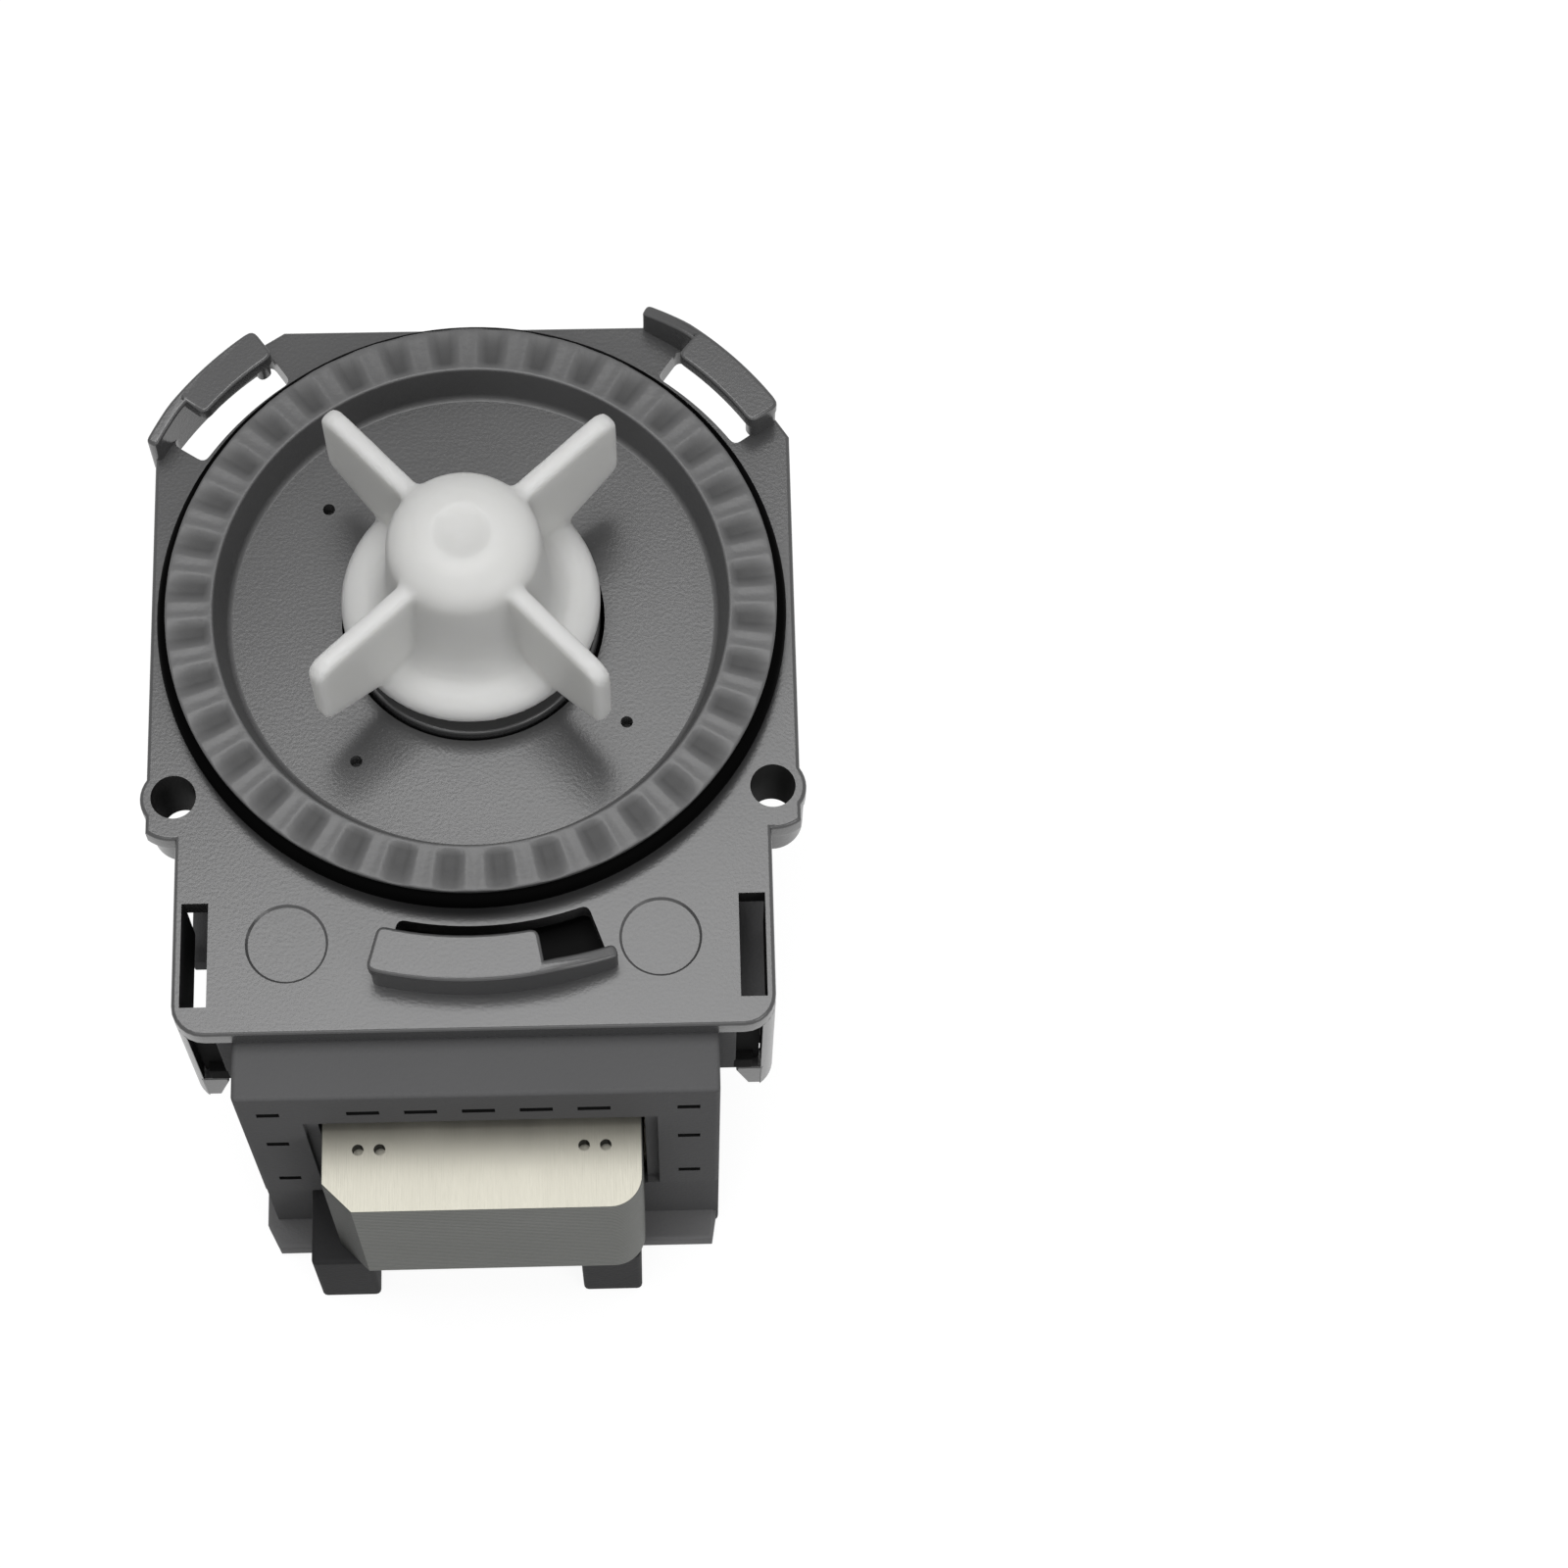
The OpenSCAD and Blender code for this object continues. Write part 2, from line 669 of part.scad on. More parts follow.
module front_bearing_carrier() color(plastic_grey) difference() {
    union() {
        tube(carrier_r, 0, -mouth_depth, carrier_proud);
        tube(can_r - fit_gap, 0, carrier_bottom, -mouth_depth + eps);
    }
    // The ring groove, the cored out underside and the seat of the bush
    translate([0, 0, seal_z]) linear_extrude(seal_d + 0.2, center = true) difference() {
        circle(carrier_r + 1);
        circle(seal_r - seal_d / 2 - fit_gap);
    }
    translate([0, 0, carrier_bottom - 1]) {
        linear_extrude(carrier_proud - carrier_web - carrier_bottom + 1) difference() {
            circle(can_r - 2);
            circle(carrier_hub_r);
        }
        cylinder(r = bush_r + fit_gap, h = front_bush_top + fit_gap - carrier_bottom + 1);
    }
    translate([0, 0, front_bush_top - 1]) cylinder(r = bush_r - 1, h = 4);
}

module carrier_seal() color(rubber_black)
    translate([0, 0, seal_z]) rotate_extrude() translate([seal_r, 0]) circle(d = seal_d);

module front_bush() color(carbon) tube(bush_r, bush_bore, front_bush_bottom, front_bush_top);

module rear_bush() color(carbon) tube(bush_r, bush_bore, rear_bush_top - rear_bush_l, rear_bush_top);

module rear_bush_damper() color(rubber_black) {
    tube(damper_r, bush_r + fit_gap, damper_bottom, rear_bush_top);
    tube(bush_r + 0.5, 0, damper_bottom, damper_bottom + damper_wall - fit_gap);
}

module rotor_shaft() color(steel) tube(shaft_r, 0, shaft_bottom, shaft_top);

module rotor_magnet() color([0.18, 0.18, 0.2])
    tube(magnet_d / 2, shaft_r + hub_wall + fit_gap, magnet_bottom, magnet_top);

module rotor_hub() color("white") difference() {
    union() {
        tube(shaft_r + hub_wall, 0, hub_rear, hub_front);
        tube(hub_flange_d / 2, 0, hub_rear, magnet_bottom);
        tube(hub_flange_d / 2, 0, magnet_top, magnet_top + hub_flange);
    }
    translate([0, 0, hub_rear - 1]) cylinder(r = shaft_r + fit_gap, h = far);
}

module thrust_washer(top) color("tan") tube(washer_d / 2, shaft_r + fit_gap, top - washer_t, top);

module front_thrust_washer() thrust_washer(front_washer_top);

module rear_thrust_washer() thrust_washer(hub_rear - fit_gap);

module drive_dog() color("dimgray") translate([0, 0, dog_z]) difference() {
    linear_extrude(dog_h) {
        circle(dog_hub_r);
        rotate(180) ring_sector(1, dog_r, -dog_angle, dog_angle);
    }
    translate([0, 0, -1]) cylinder(r = shaft_r + fit_gap, h = dog_h + 2);
}

// The impeller's outer profile: a disc with a round shoulder, a fillet and a boss with a round top
function quarter(x, y, rx, ry, start, n) = [for (i = [0:n]) let(a = start + 90 * i / n)
    [x + rx * cos(a), y + ry * sin(a)]];
function reverse(list) = [for (i = [len(list) - 1:-1:0]) list[i]];
function impeller_profile() = concat([[0, disc_z], [disc_r, disc_z]],
    quarter(disc_r - shoulder_w, rim_z, shoulder_w, shoulder_h, 0, 8),
    reverse(quarter(hub_r + boss_fillet, shoulder_z + boss_fillet, boss_fillet, boss_fillet, 180, 6)),
    quarter(hub_r - dome_r, hub_top - dome_r, dome_r, dome_r, 0, 8), [[0, hub_top]]);

// One blade, lying in the XZ plane
module blade() {
    tip_bottom = blade_top - blade_tip_h;
    rotate([90, 0, 0]) linear_extrude(blade_t, center = true) difference() {
        union() {
            polygon([[hub_r - 1, disc_z + 0.4], [disc_r, disc_z + 0.6], [blade_r - blade_round, tip_bottom],
                     [blade_r - blade_round, blade_top], [hub_r - 1, blade_top]]);
            rect(blade_r - blade_round - eps, tip_bottom + blade_round, blade_r, blade_top - blade_round);
            translate([blade_r - blade_round, tip_bottom + blade_round]) circle(blade_round);
            translate([blade_r - blade_round, blade_top - blade_round]) circle(blade_round);
        }
        rect(-far, -far, hub_r - 1, far);
    }
}

module impeller() color([0.93, 0.93, 0.92]) difference() {
    union() {
        rotate_extrude() polygon(impeller_profile());
        for (i = [0:blade_n - 1]) rotate(blade_angle + 360 * i / blade_n) blade();
    }
    translate([0, 0, disc_z - 1]) cylinder(r = cover_r + fit_gap, h = chamber_z - disc_z + 1);
    difference() {
        translate([0, 0, chamber_z - eps]) cylinder(r = chamber_r, h = chamber_top - chamber_z + eps);
        translate([0, 0, chamber_z - 1]) linear_extrude(chamber_top - chamber_z + 2)
            ring_sector(stop_r, chamber_r + 1, -stop_angle, stop_angle);
    }
    cylinder(r = running_r, h = shaft_bore_top);
}

module impeller_cover() color([0.93, 0.93, 0.92])
    tube(cover_r, running_r + 0.2, cover_z, chamber_z - fit_gap);

module dog_bumper() color(rubber_black) {
    height = chamber_top - chamber_z - 2 * fit_gap;
    translate([0, 0, chamber_z + fit_gap]) linear_extrude(height) difference() {
        ring_sector(bumper_in_r, chamber_r - fit_gap, -bumper_angle, bumper_angle);
        ring_sector(stop_r - fit_gap, chamber_r + 1, -stop_angle - 0.4, stop_angle + 0.4);
    }
}

// One lamination: a U whose legs end in the two poles
module lamination() difference() {
    rect(-core_half, -core_front, core_half, core_back);
    rect(-leg_in, -core_front + yoke_l, leg_in, core_back + 1);
    circle(pole_r);
    // Starting notches, one in each pole
    for (a = [30, 210]) ring_sector(1, pole_r + pole_notch, a, a + notch_angle);
    polygon([[-core_half - 1, -core_front - 1], [-core_half + yoke_chamfer + 1, -core_front - 1],
             [-core_half - 1, -core_front + yoke_chamfer + 1]]);
    difference() {
        rect(core_half - yoke_round, -core_front - 1, core_half + 1, -core_front + yoke_round);
        translate([core_half - yoke_round, -core_front + yoke_round]) circle(yoke_round);
    }
}

module stator_core() color(steel) difference() {
    translate([0, 0, core_bottom]) linear_extrude(stack_t) lamination();
    for (s = [-1, 1]) for (p = [-0.5, 0.5])
        translate([s * dimple_x + p * dimple_pitch, -core_front + dimple_y, core_top - dimple_depth])
            cylinder(d = dimple_d, h = dimple_depth + 1, $fn = 32);
}

// A block round a leg, grown by g on its four long sides
module leg_block(g, y0, y1) {
    block([leg_in - g, y0, core_bottom - g], [core_half + g, y1, core_top + g]);
}

module bobbin() color("ivory") {
    difference() {
        union() {
            leg_block(tube_gap, bobbin_front, bobbin_back);
            leg_block(flange_out, bobbin_front, bobbin_front + bobbin_flange);
            leg_block(flange_out, bobbin_back - bobbin_flange, bobbin_back);
            // The boot that holds a connector tab
            block([tab_x - boot_w / 2, bobbin_front, socket_top],
                  [tab_x + boot_w / 2, socket_y + tab_t / 2 + boot_wall, core_bottom - flange_out + eps]);
        }
        leg_block(bobbin_gap, bobbin_front - 1, bobbin_back + 1);
        block([tab_x - tab_w / 2 - fit_gap, socket_y - tab_t / 2 - fit_gap, base_z],
              [tab_x + tab_w / 2 + fit_gap, socket_y + tab_t / 2 + fit_gap, socket_top + tab_grip + fit_gap]);
    }
}

module bobbin_right() bobbin();

module bobbin_left() mirror([1, 0, 0]) bobbin();

module coil() color([0.72, 0.4, 0.2]) difference() {
    leg_block(coil_out, bobbin_front + bobbin_flange + fit_gap, bobbin_back - bobbin_flange - fit_gap);
    leg_block(tube_gap + fit_gap, bobbin_front, bobbin_back);
}

module coil_right() coil();

module coil_left() mirror([1, 0, 0]) coil();

module coil_link_wire() color([0.72, 0.4, 0.2])
    translate([-leg_mid, link_y, coil_top + link_d / 2 + fit_gap]) rotate([0, 90, 0])
        cylinder(d = link_d, h = 2 * leg_mid);

module thermal_fuse() color("lightgray")
    translate([leg_mid - fuse_l / 2, fuse_y, coil_top + fuse_d / 2 + fit_gap]) rotate([0, 90, 0]) {
        cylinder(d = fuse_d, h = fuse_l);
        translate([0, 0, -2]) cylinder(d = fuse_d / 4, h = fuse_l + 4, $fn = 24);
    }

module terminal() color([0.8, 0.78, 0.7])
    block([tab_x - tab_w / 2, socket_y - tab_t / 2, socket_top - tab_l],
          [tab_x + tab_w / 2, socket_y + tab_t / 2, socket_top + tab_grip]);

module terminal_right() terminal();

module terminal_left() mirror([1, 0, 0]) terminal();

// The small slots on both sides of the yoke and in a row above it
module vents() {
    for (drop = vent_drops) translate([0, 0, housing_top - drop]) both_sides()
        block([vent_x - vent_w / 2, -housing_front - 1, -vent_h / 2],
              [vent_x + vent_w / 2, -housing_front + vent_depth, vent_h / 2]);
    row_n = 5;
    for (i = [0:row_n - 1]) translate([(i - (row_n - 1) / 2) * row_pitch, 0, 0])
        block([-row_w / 2, -housing_front - 1, row_z - vent_h / 2],
              [row_w / 2, -housing_front + vent_depth, row_z + vent_h / 2]);
}

// A foot under the yoke, with its low X side at x
module foot(x) {
    block([x, foot_front, base_z], [x + foot_w, -housing_front + housing_wall, foot_top]);
}

// A lug on the side of the housing that a snap arm catches, with the rib over it
module lug() {
    block([housing_half - eps, arm_front, lug_z], [lug_out, arm_front + lug_l, lug_z + lug_h]);
    block([housing_half - eps, arm_front, lug_z], [(housing_half + lug_out) / 2, arm_back, housing_top]);
}

module coil_housing() color(plastic_dark) difference() {
    union() {
        difference() {
            block([-housing_half, -housing_front, base_z], [housing_half, housing_back, housing_top]);
            block([-inner_half, -housing_front + housing_wall, base_top],
                  [inner_half, housing_back + 1, housing_top - housing_wall]);
            // The lower part of the front wall stands back a little
            block([-far, -housing_front - 1, base_top], [far, -housing_front + step_depth, step_z]);
        }
        translate([0, 0, base_z]) linear_extrude(base_h)
            polygon([[housing_half, -housing_front + 1],
                     [housing_half - base_taper, -housing_front - base_reach],
                     [base_left + base_cut / 2, -housing_front - base_reach],
                     [base_left, -housing_front - base_reach + base_cut],
                     [base_left, -housing_front + base_side_l],
                     [-housing_half + 1, -housing_front + base_side_l],
                     [-housing_half + 1, -housing_front + 1]]);
        foot(-left_foot_x - foot_w);
        foot(right_foot_x);
        both_sides() lug();
        // The lug on the right is wider behind the snap arm
        block([housing_half - eps, arm_back + 2 * catch_gap, lug_z],
              [shelf_out, arm_front + lug_l, lug_z + lug_h]);
        // The shroud round the connector tabs
        block([-socket_w / 2 - socket_wall, socket_y - socket_l / 2 - socket_wall, base_z],
              [socket_w / 2 + socket_wall, socket_y + socket_l / 2 + socket_wall, socket_top - fit_gap]);
    }
    vents();
    // The recessed panel and the opening that the yoke passes through
    block([-panel_half, -housing_front - 1, step_z], [panel_half, -housing_front + panel_depth, panel_top]);
    block([-opening_half, -housing_front - 1, core_bottom - yoke_gap],
          [opening_half, -housing_front + housing_wall + 1, opening_top]);
    block([-socket_w / 2, socket_y - socket_l / 2, base_z - 1],
          [socket_w / 2, socket_y + socket_l / 2, socket_top + 1]);
}

flange_plate();
o_ring();
front_bearing_carrier();
carrier_seal();
front_bush();
rear_bush();
rear_bush_damper();
rotor_shaft();
rotor_magnet();
rotor_hub();
front_thrust_washer();
rear_thrust_washer();
drive_dog();
impeller();
impeller_cover();
dog_bumper();
stator_core();
bobbin_left();
bobbin_right();
coil_left();
coil_right();
coil_link_wire();
thermal_fuse();
coil_housing();
terminal_left();
terminal_right();
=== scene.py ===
# %% [markdown]
# # A drain pump, dressed for its portrait
# The pump is seen from above: a grey flange plate with a spigot boss and a black O-ring, a milky white
# impeller on the rotor axis, and in front of it the bare steel yoke that leaves the dark motor housing.
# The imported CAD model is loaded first, as a fixed frame. Its hidden solids keep their mesh and only get a
# finish. A piece that shows could keep its CAD mesh too, but the knife edges of a solid catch no light.
# So each of them is modelled again with soft edges, and sits exactly where the frame says.

# %% The frame and its box
import json
from math import atan2, cos, degrees, pi, radians, sin, sqrt

import bmesh
import bpy
from mathutils import Matrix, Vector

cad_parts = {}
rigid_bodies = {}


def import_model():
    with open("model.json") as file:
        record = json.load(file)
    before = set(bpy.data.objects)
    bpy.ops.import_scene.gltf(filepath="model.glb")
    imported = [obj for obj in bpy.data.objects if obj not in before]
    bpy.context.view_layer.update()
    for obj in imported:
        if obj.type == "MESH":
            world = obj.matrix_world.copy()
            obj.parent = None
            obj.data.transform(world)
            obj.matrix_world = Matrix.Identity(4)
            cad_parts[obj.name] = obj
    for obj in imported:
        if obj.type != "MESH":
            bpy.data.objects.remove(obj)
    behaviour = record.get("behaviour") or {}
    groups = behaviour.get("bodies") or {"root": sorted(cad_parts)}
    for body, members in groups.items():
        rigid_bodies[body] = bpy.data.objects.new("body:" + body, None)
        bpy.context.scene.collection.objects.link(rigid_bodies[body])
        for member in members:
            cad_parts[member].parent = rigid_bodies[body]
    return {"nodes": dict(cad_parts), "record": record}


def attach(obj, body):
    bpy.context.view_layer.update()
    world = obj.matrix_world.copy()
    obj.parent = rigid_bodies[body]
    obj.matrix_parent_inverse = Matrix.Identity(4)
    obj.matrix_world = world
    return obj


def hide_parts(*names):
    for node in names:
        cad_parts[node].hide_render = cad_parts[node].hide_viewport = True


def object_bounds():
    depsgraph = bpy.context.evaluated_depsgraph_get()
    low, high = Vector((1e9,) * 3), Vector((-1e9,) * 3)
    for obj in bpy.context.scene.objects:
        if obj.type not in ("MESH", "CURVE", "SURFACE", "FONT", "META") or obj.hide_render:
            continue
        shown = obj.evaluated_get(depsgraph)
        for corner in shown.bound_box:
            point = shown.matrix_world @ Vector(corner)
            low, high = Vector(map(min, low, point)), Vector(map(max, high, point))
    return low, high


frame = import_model()
cad_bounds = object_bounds()
scene = bpy.context.scene
scene.view_settings.view_transform = "Standard"
print("CAD nodes:", len(frame["nodes"]))

# %% [markdown]
# ## Camera
# The photographer stood in front of the pump and looked steeply down on it, a little from the right. A
# Track To constraint could point a camera at the pump, but it leaves the roll and the focal length to
# guesswork. The place, the three turns and the lens were fitted instead to the round boss, the plate's
# corners and the yoke, and are written down here, so that the render can be laid over the photograph.
# Blender counts in metres and moulded parts are drawn in millimetres: MM stands between the two.

# %% Camera
MM = 0.001
CAMERA_PLACE = Vector((21.33, -174.49, 413.31)) * MM
CAMERA_YAW, CAMERA_PITCH, CAMERA_ROLL = radians(-4.748), radians(69.495), radians(3.334)
camera_data = bpy.data.cameras.new("camera")
camera_data.sensor_width = 36
camera_data.lens = 91.98
camera_data.clip_start = 0.01
camera = bpy.data.objects.new("camera", camera_data)
scene.collection.objects.link(camera)
camera.matrix_world = (Matrix.Translation(CAMERA_PLACE)
                       @ Matrix.Rotation(CAMERA_YAW, 4, "Z")
                       @ Matrix.Rotation(pi / 2 - CAMERA_PITCH, 4, "X")
                       @ Matrix.Rotation(CAMERA_ROLL, 4, "Z"))
scene.camera = camera
print("camera", round(CAMERA_PLACE.length / MM), "mm from the middle of the plate")

# %% [markdown]
# ## A white surround
# A product is photographed on a white table that runs up into a white wall. Such a wall could be
# modelled, but it would light the pump from every side and wash out its dark greys. The world is made of
# two backgrounds instead: the camera and the reflections see a white one, and what lights the pump is a
# grey one.


# %% Which rays see white
def seen_rays(tree):
    """1 where a camera, transmission or glossy ray looks at the background, and 0 for its light."""
    path = tree.nodes.new("ShaderNodeLightPath")
    total = path.outputs["Is Camera Ray"]
    for kind in ("Is Transmission Ray", "Is Glossy Ray"):
        either = tree.nodes.new("ShaderNodeMath")
        either.operation = "MAXIMUM"
        tree.links.new(total, either.inputs[0])
        tree.links.new(path.outputs[kind], either.inputs[1])
        total = either.outputs[0]
    return total


# %% World
FILL_LIGHT = 0.34
WHITE = (1, 1, 1, 1)
world = bpy.data.worlds.new("studio")
scene.world = world
world.use_nodes = True
tree = world.node_tree
tree.nodes.clear()
fill = tree.nodes.new("ShaderNodeBackground")
fill.inputs["Color"].default_value = WHITE
fill.inputs["Strength"].default_value = FILL_LIGHT
seen = tree.nodes.new("ShaderNodeBackground")
seen.inputs["Color"].default_value = WHITE
mix = tree.nodes.new("ShaderNodeMixShader")
tree.links.new(seen_rays(tree), mix.inputs["Fac"])
tree.links.new(fill.outputs[0], mix.inputs[1])
tree.links.new(seen.outputs[0], mix.inputs[2])
world_out = tree.nodes.new("ShaderNodeOutputWorld")
tree.links.new(mix.outputs[0], world_out.inputs["Surface"])
print("the world lights the pump at", FILL_LIGHT)

# %% [markdown]
# ## Softboxes
# A softbox is a lamp behind a large sheet of cloth: the cloth's size makes the shadows soft. A sun lamp
# would be simpler, but it draws one hard shadow. So each softbox is an area lamp that faces the pump: a
# strong one high over it, one from the front right that lights the yoke, and a weak one from the front
# that keeps the front walls from going black.

# %% Softboxes
SOFTBOXES = {
    "softbox_key": {"place": (-0.03, 0.07, 0.70), "aim": (0, 0, 0), "size": (0.42, 0.36), "watts": 2.8},
    "softbox_side": {"place": (0.40, -0.44, 0.36), "aim": (0, -0.02, -0.01), "size": (0.3, 0.3),
                     "watts": 1.0},
    "softbox_front": {"place": (-0.08, -0.46, 0.46), "aim": (0, 0, 0), "size": (0.4, 0.3), "watts": 0.6}}


def softbox(name, place, aim, size, watts):
    data = bpy.data.lights.new(name, "AREA")
    data.shape = "RECTANGLE"
    data.size, data.size_y = size
    data.energy = watts
    lamp = bpy.data.objects.new(name, data)
    scene.collection.objects.link(lamp)
    lamp.location = place
    lamp.rotation_euler = (Vector(aim) - Vector(place)).to_track_quat("-Z", "Y").to_euler()
    print(name, watts, "W")


for name, settings in SOFTBOXES.items():
    softbox(name, **settings)

# %% [markdown]
# ## Floor
# The table is one flat sheet under the feet of the pump. A backdrop with a swept-up back is common in a
# studio, but from this height the camera never sees past the table, so a wide square is enough.

# %% Floor
FLOOR_REACH = 3
floor_bm = bmesh.new()
bmesh.ops.create_grid(floor_bm, x_segments=1, y_segments=1, size=FLOOR_REACH)
bmesh.ops.translate(floor_bm, vec=(0, 0, cad_bounds[0][2]), verts=floor_bm.verts)
floor_mesh = bpy.data.meshes.new("floor")
floor_bm.to_mesh(floor_mesh)
floor_bm.free()
floor = bpy.data.objects.new("floor", floor_mesh)
scene.collection.objects.link(floor)
print("floor at", round(cad_bounds[0][2] / MM, 2), "mm")

# %% [markdown]
# ## One recipe for every surface
# No moulded, ground or rolled surface is perfectly even: its colour drifts a little, its gloss drifts
# with it, and the grain of the mould or the rolls breaks up each highlight. A picture wrapped round the
# mesh could show that, but it would need seams and bring its own light. Noise nodes make it at any scale,
# so one helper builds the same small recipe for each material. It reads Object coordinates, which lie
# still on the piece. The denoiser takes a surface under a roughness of about 0.27 for a mirror, and a
# finish that crosses that value shows thin contour lines, so the gloss of each one stays on one side of
# it.

# %% A surface recipe
GLOSS_SPREAD = 0.12
CLOUD_SCALE, BUMP_DISTANCE = 60, 0.0004


def pump_surface(name, color, roughness, metallic=0.0, grain=900, relief=0.05, mottle=0.08,
                 specular=0.5, stretch=(1, 1, 1)):
    """A Principled material whose colour, gloss and relief vary softly. grain is in bumps per metre."""
    material = bpy.data.materials.new(name)
    material.use_nodes = True
    nodes, links = material.node_tree.nodes, material.node_tree.links
    shader = nodes["Principled BSDF"]
    shader.inputs["Metallic"].default_value = metallic
    shader.inputs["Specular IOR Level"].default_value = specular
    place = nodes.new("ShaderNodeTexCoord")
    spread = nodes.new("ShaderNodeMapping")
    spread.inputs["Scale"].default_value = stretch
    links.new(place.outputs["Object"], spread.inputs["Vector"])
    cloud = nodes.new("ShaderNodeTexNoise")
    cloud.inputs["Scale"].default_value = CLOUD_SCALE
    cloud.inputs["Detail"].default_value = 5
    links.new(spread.outputs["Vector"], cloud.inputs["Vector"])
    tint = nodes.new("ShaderNodeMix")
    tint.data_type = "RGBA"
    tint.inputs["A"].default_value = [c * (1 - mottle) for c in color] + [1]
    tint.inputs["B"].default_value = [min(c * (1 + mottle), 1) for c in color] + [1]
    links.new(cloud.outputs["Fac"], tint.inputs["Factor"])
    links.new(tint.outputs["Result"], shader.inputs["Base Color"])
    gloss = nodes.new("ShaderNodeMapRange")
    gloss.inputs["To Min"].default_value = roughness * (1 - GLOSS_SPREAD)
    gloss.inputs["To Max"].default_value = min(roughness * (1 + GLOSS_SPREAD), 1)
    links.new(cloud.outputs["Fac"], gloss.inputs["Value"])
    links.new(gloss.outputs["Result"], shader.inputs["Roughness"])
    fine = nodes.new("ShaderNodeTexNoise")
    fine.name = "fine"
    fine.inputs["Scale"].default_value = grain
    fine.inputs["Detail"].default_value = 3
    links.new(spread.outputs["Vector"], fine.inputs["Vector"])
    bump = nodes.new("ShaderNodeBump")
    bump.inputs["Strength"].default_value = relief
    bump.inputs["Distance"].default_value = BUMP_DISTANCE
    links.new(fine.outputs["Fac"], bump.inputs["Height"])
    links.new(bump.outputs["Normal"], shader.inputs["Normal"])
    print("finish", name)
    return material


# %% [markdown]
# ## Plastics of the plate and the housing
# The plate is a smooth grey moulding with a soft gloss, and the housing a darker one with a matt grain from
# its mould. One grey for both would be less work, but the join between them shows mostly by that change of
# gloss. Deep cuts get a near-black copy of their plastic as painted shade, as the walls inside a narrow slot
# hardly catch any light. The flange and the feet of the housing get a lighter and a darker copy of the
# housing plastic, as painted light and painted shadow.

# %% Plate and housing plastics
plate_grey = pump_surface("plate_grey_plastic", (0.06, 0.06, 0.061), 0.24, grain=2600, relief=0.05)
ring_grey = pump_surface("plate_grey_of_the_boss", (0.085, 0.085, 0.086), 0.42, grain=1500, relief=0.1)
# painted shade: a near-black copy of the plate plastic for the walls of its deep cuts
plate_painted_shade = pump_surface("plate_grey_painted_shade", (0.012, 0.012, 0.012), 0.7, specular=0.1)
housing_grey = pump_surface("housing_dark_plastic", (0.105, 0.105, 0.107), 0.6, grain=2200, relief=0.16,
                            specular=0.03)
# painted shadow: a darker copy of the housing plastic for the feet in the yoke's shadow
feet_painted_shadow_plastic = pump_surface("housing_feet_painted_shadow", (0.036, 0.036, 0.037), 0.6, grain=2200, relief=0.16,
                            specular=0.03)
# painted light: a lighter copy of the housing plastic for the flange that faces the light
housing_base_painted_light = pump_surface("housing_base_painted_light", (0.17, 0.17, 0.172), 0.6, grain=2200, relief=0.16,
                            specular=0.1)
# painted shade: a near-black copy of the housing plastic for its pocket, small slots and lug webs
housing_painted_shade = pump_surface("housing_plastic_painted_shade", (0.01, 0.01, 0.01), 0.8, specular=0.05)

# %% [markdown]
# ## Steel core
# The sheets are rolled electrical steel, punched out: the flat side keeps fine lines in the rolling
# direction, and the cut edges are matt and dark. An anisotropic shader could fake the lines, but they are
# really uneven colour and gloss. So the noise of the recipe is stretched along the sheet, and the edges have
# a finish of their own. The chamfered front corner gets a darker copy of the edge finish, as painted shade.

# %% Core steels
core_steel = pump_surface("core_rolled_steel", (0.285, 0.276, 0.238), 0.46, metallic=1, grain=1600,
                          relief=0.12, mottle=0.14, stretch=(4, 0.15, 4))
core_edge = pump_surface("core_cut_edges", (0.088, 0.091, 0.083), 0.5, metallic=0.85, grain=1400,
                         relief=0.12)
# painted shade: a darker copy of the edge steel for the chamfered front corner
corner_steel_painted_shade = pump_surface("core_cut_corner_painted_shade", (0.03, 0.031, 0.028), 0.6, metallic=0.8,
                           grain=1400, relief=0.12)

# %% [markdown]
# ## Rubber, carbon, magnet and coil
# The other finishes are read off such pumps: a black rubber ring, carbon bushes, a ground steel shaft, a
# sintered magnet, cream bobbins and red enamelled wire. Most of them are hidden, but somebody may open
# the model, so each one gets the same recipe with its own colour, gloss and grain.

# %% Small parts
seal_black = pump_surface("seal_black_rubber", (0.002, 0.002, 0.002), 0.5, grain=2500, relief=0.04,
                          specular=0.005)
bush_black = pump_surface("bush_carbon", (0.03, 0.03, 0.033), 0.5, grain=4000, relief=0.2)
shaft_bright = pump_surface("shaft_ground_steel", (0.62, 0.62, 0.61), 0.18, metallic=1, grain=3000,
                            relief=0.04)
magnet_dark = pump_surface("magnet_ferrite", (0.05, 0.05, 0.055), 0.62, grain=3500, relief=0.25)
rotor_white = pump_surface("rotor_plastic", (0.58, 0.58, 0.55), 0.45)
washer_tan = pump_surface("washer_plastic", (0.45, 0.33, 0.18), 0.42)
dog_grey = pump_surface("dog_plastic", (0.12, 0.12, 0.12), 0.45)
bobbin_cream = pump_surface("bobbin_glass_filled", (0.62, 0.58, 0.48), 0.5, grain=2500, relief=0.15)
winding_red = pump_surface("winding_enamelled_copper", (0.55, 0.22, 0.09), 0.32, metallic=1)
fuse_silver = pump_surface("fuse_case", (0.6, 0.6, 0.6), 0.34, metallic=1)
tab_tinned = pump_surface("tab_tinned_brass", (0.68, 0.66, 0.58), 0.33, metallic=1)

# %% [markdown]
# ## Milky impeller
# The impeller is unpigmented plastic. Light goes a few millimetres into it and comes out again, which
# fills the shadows between the blades. A brighter colour alone would stay chalky, so the shader lets
# light in, to the depth of a thick wall.

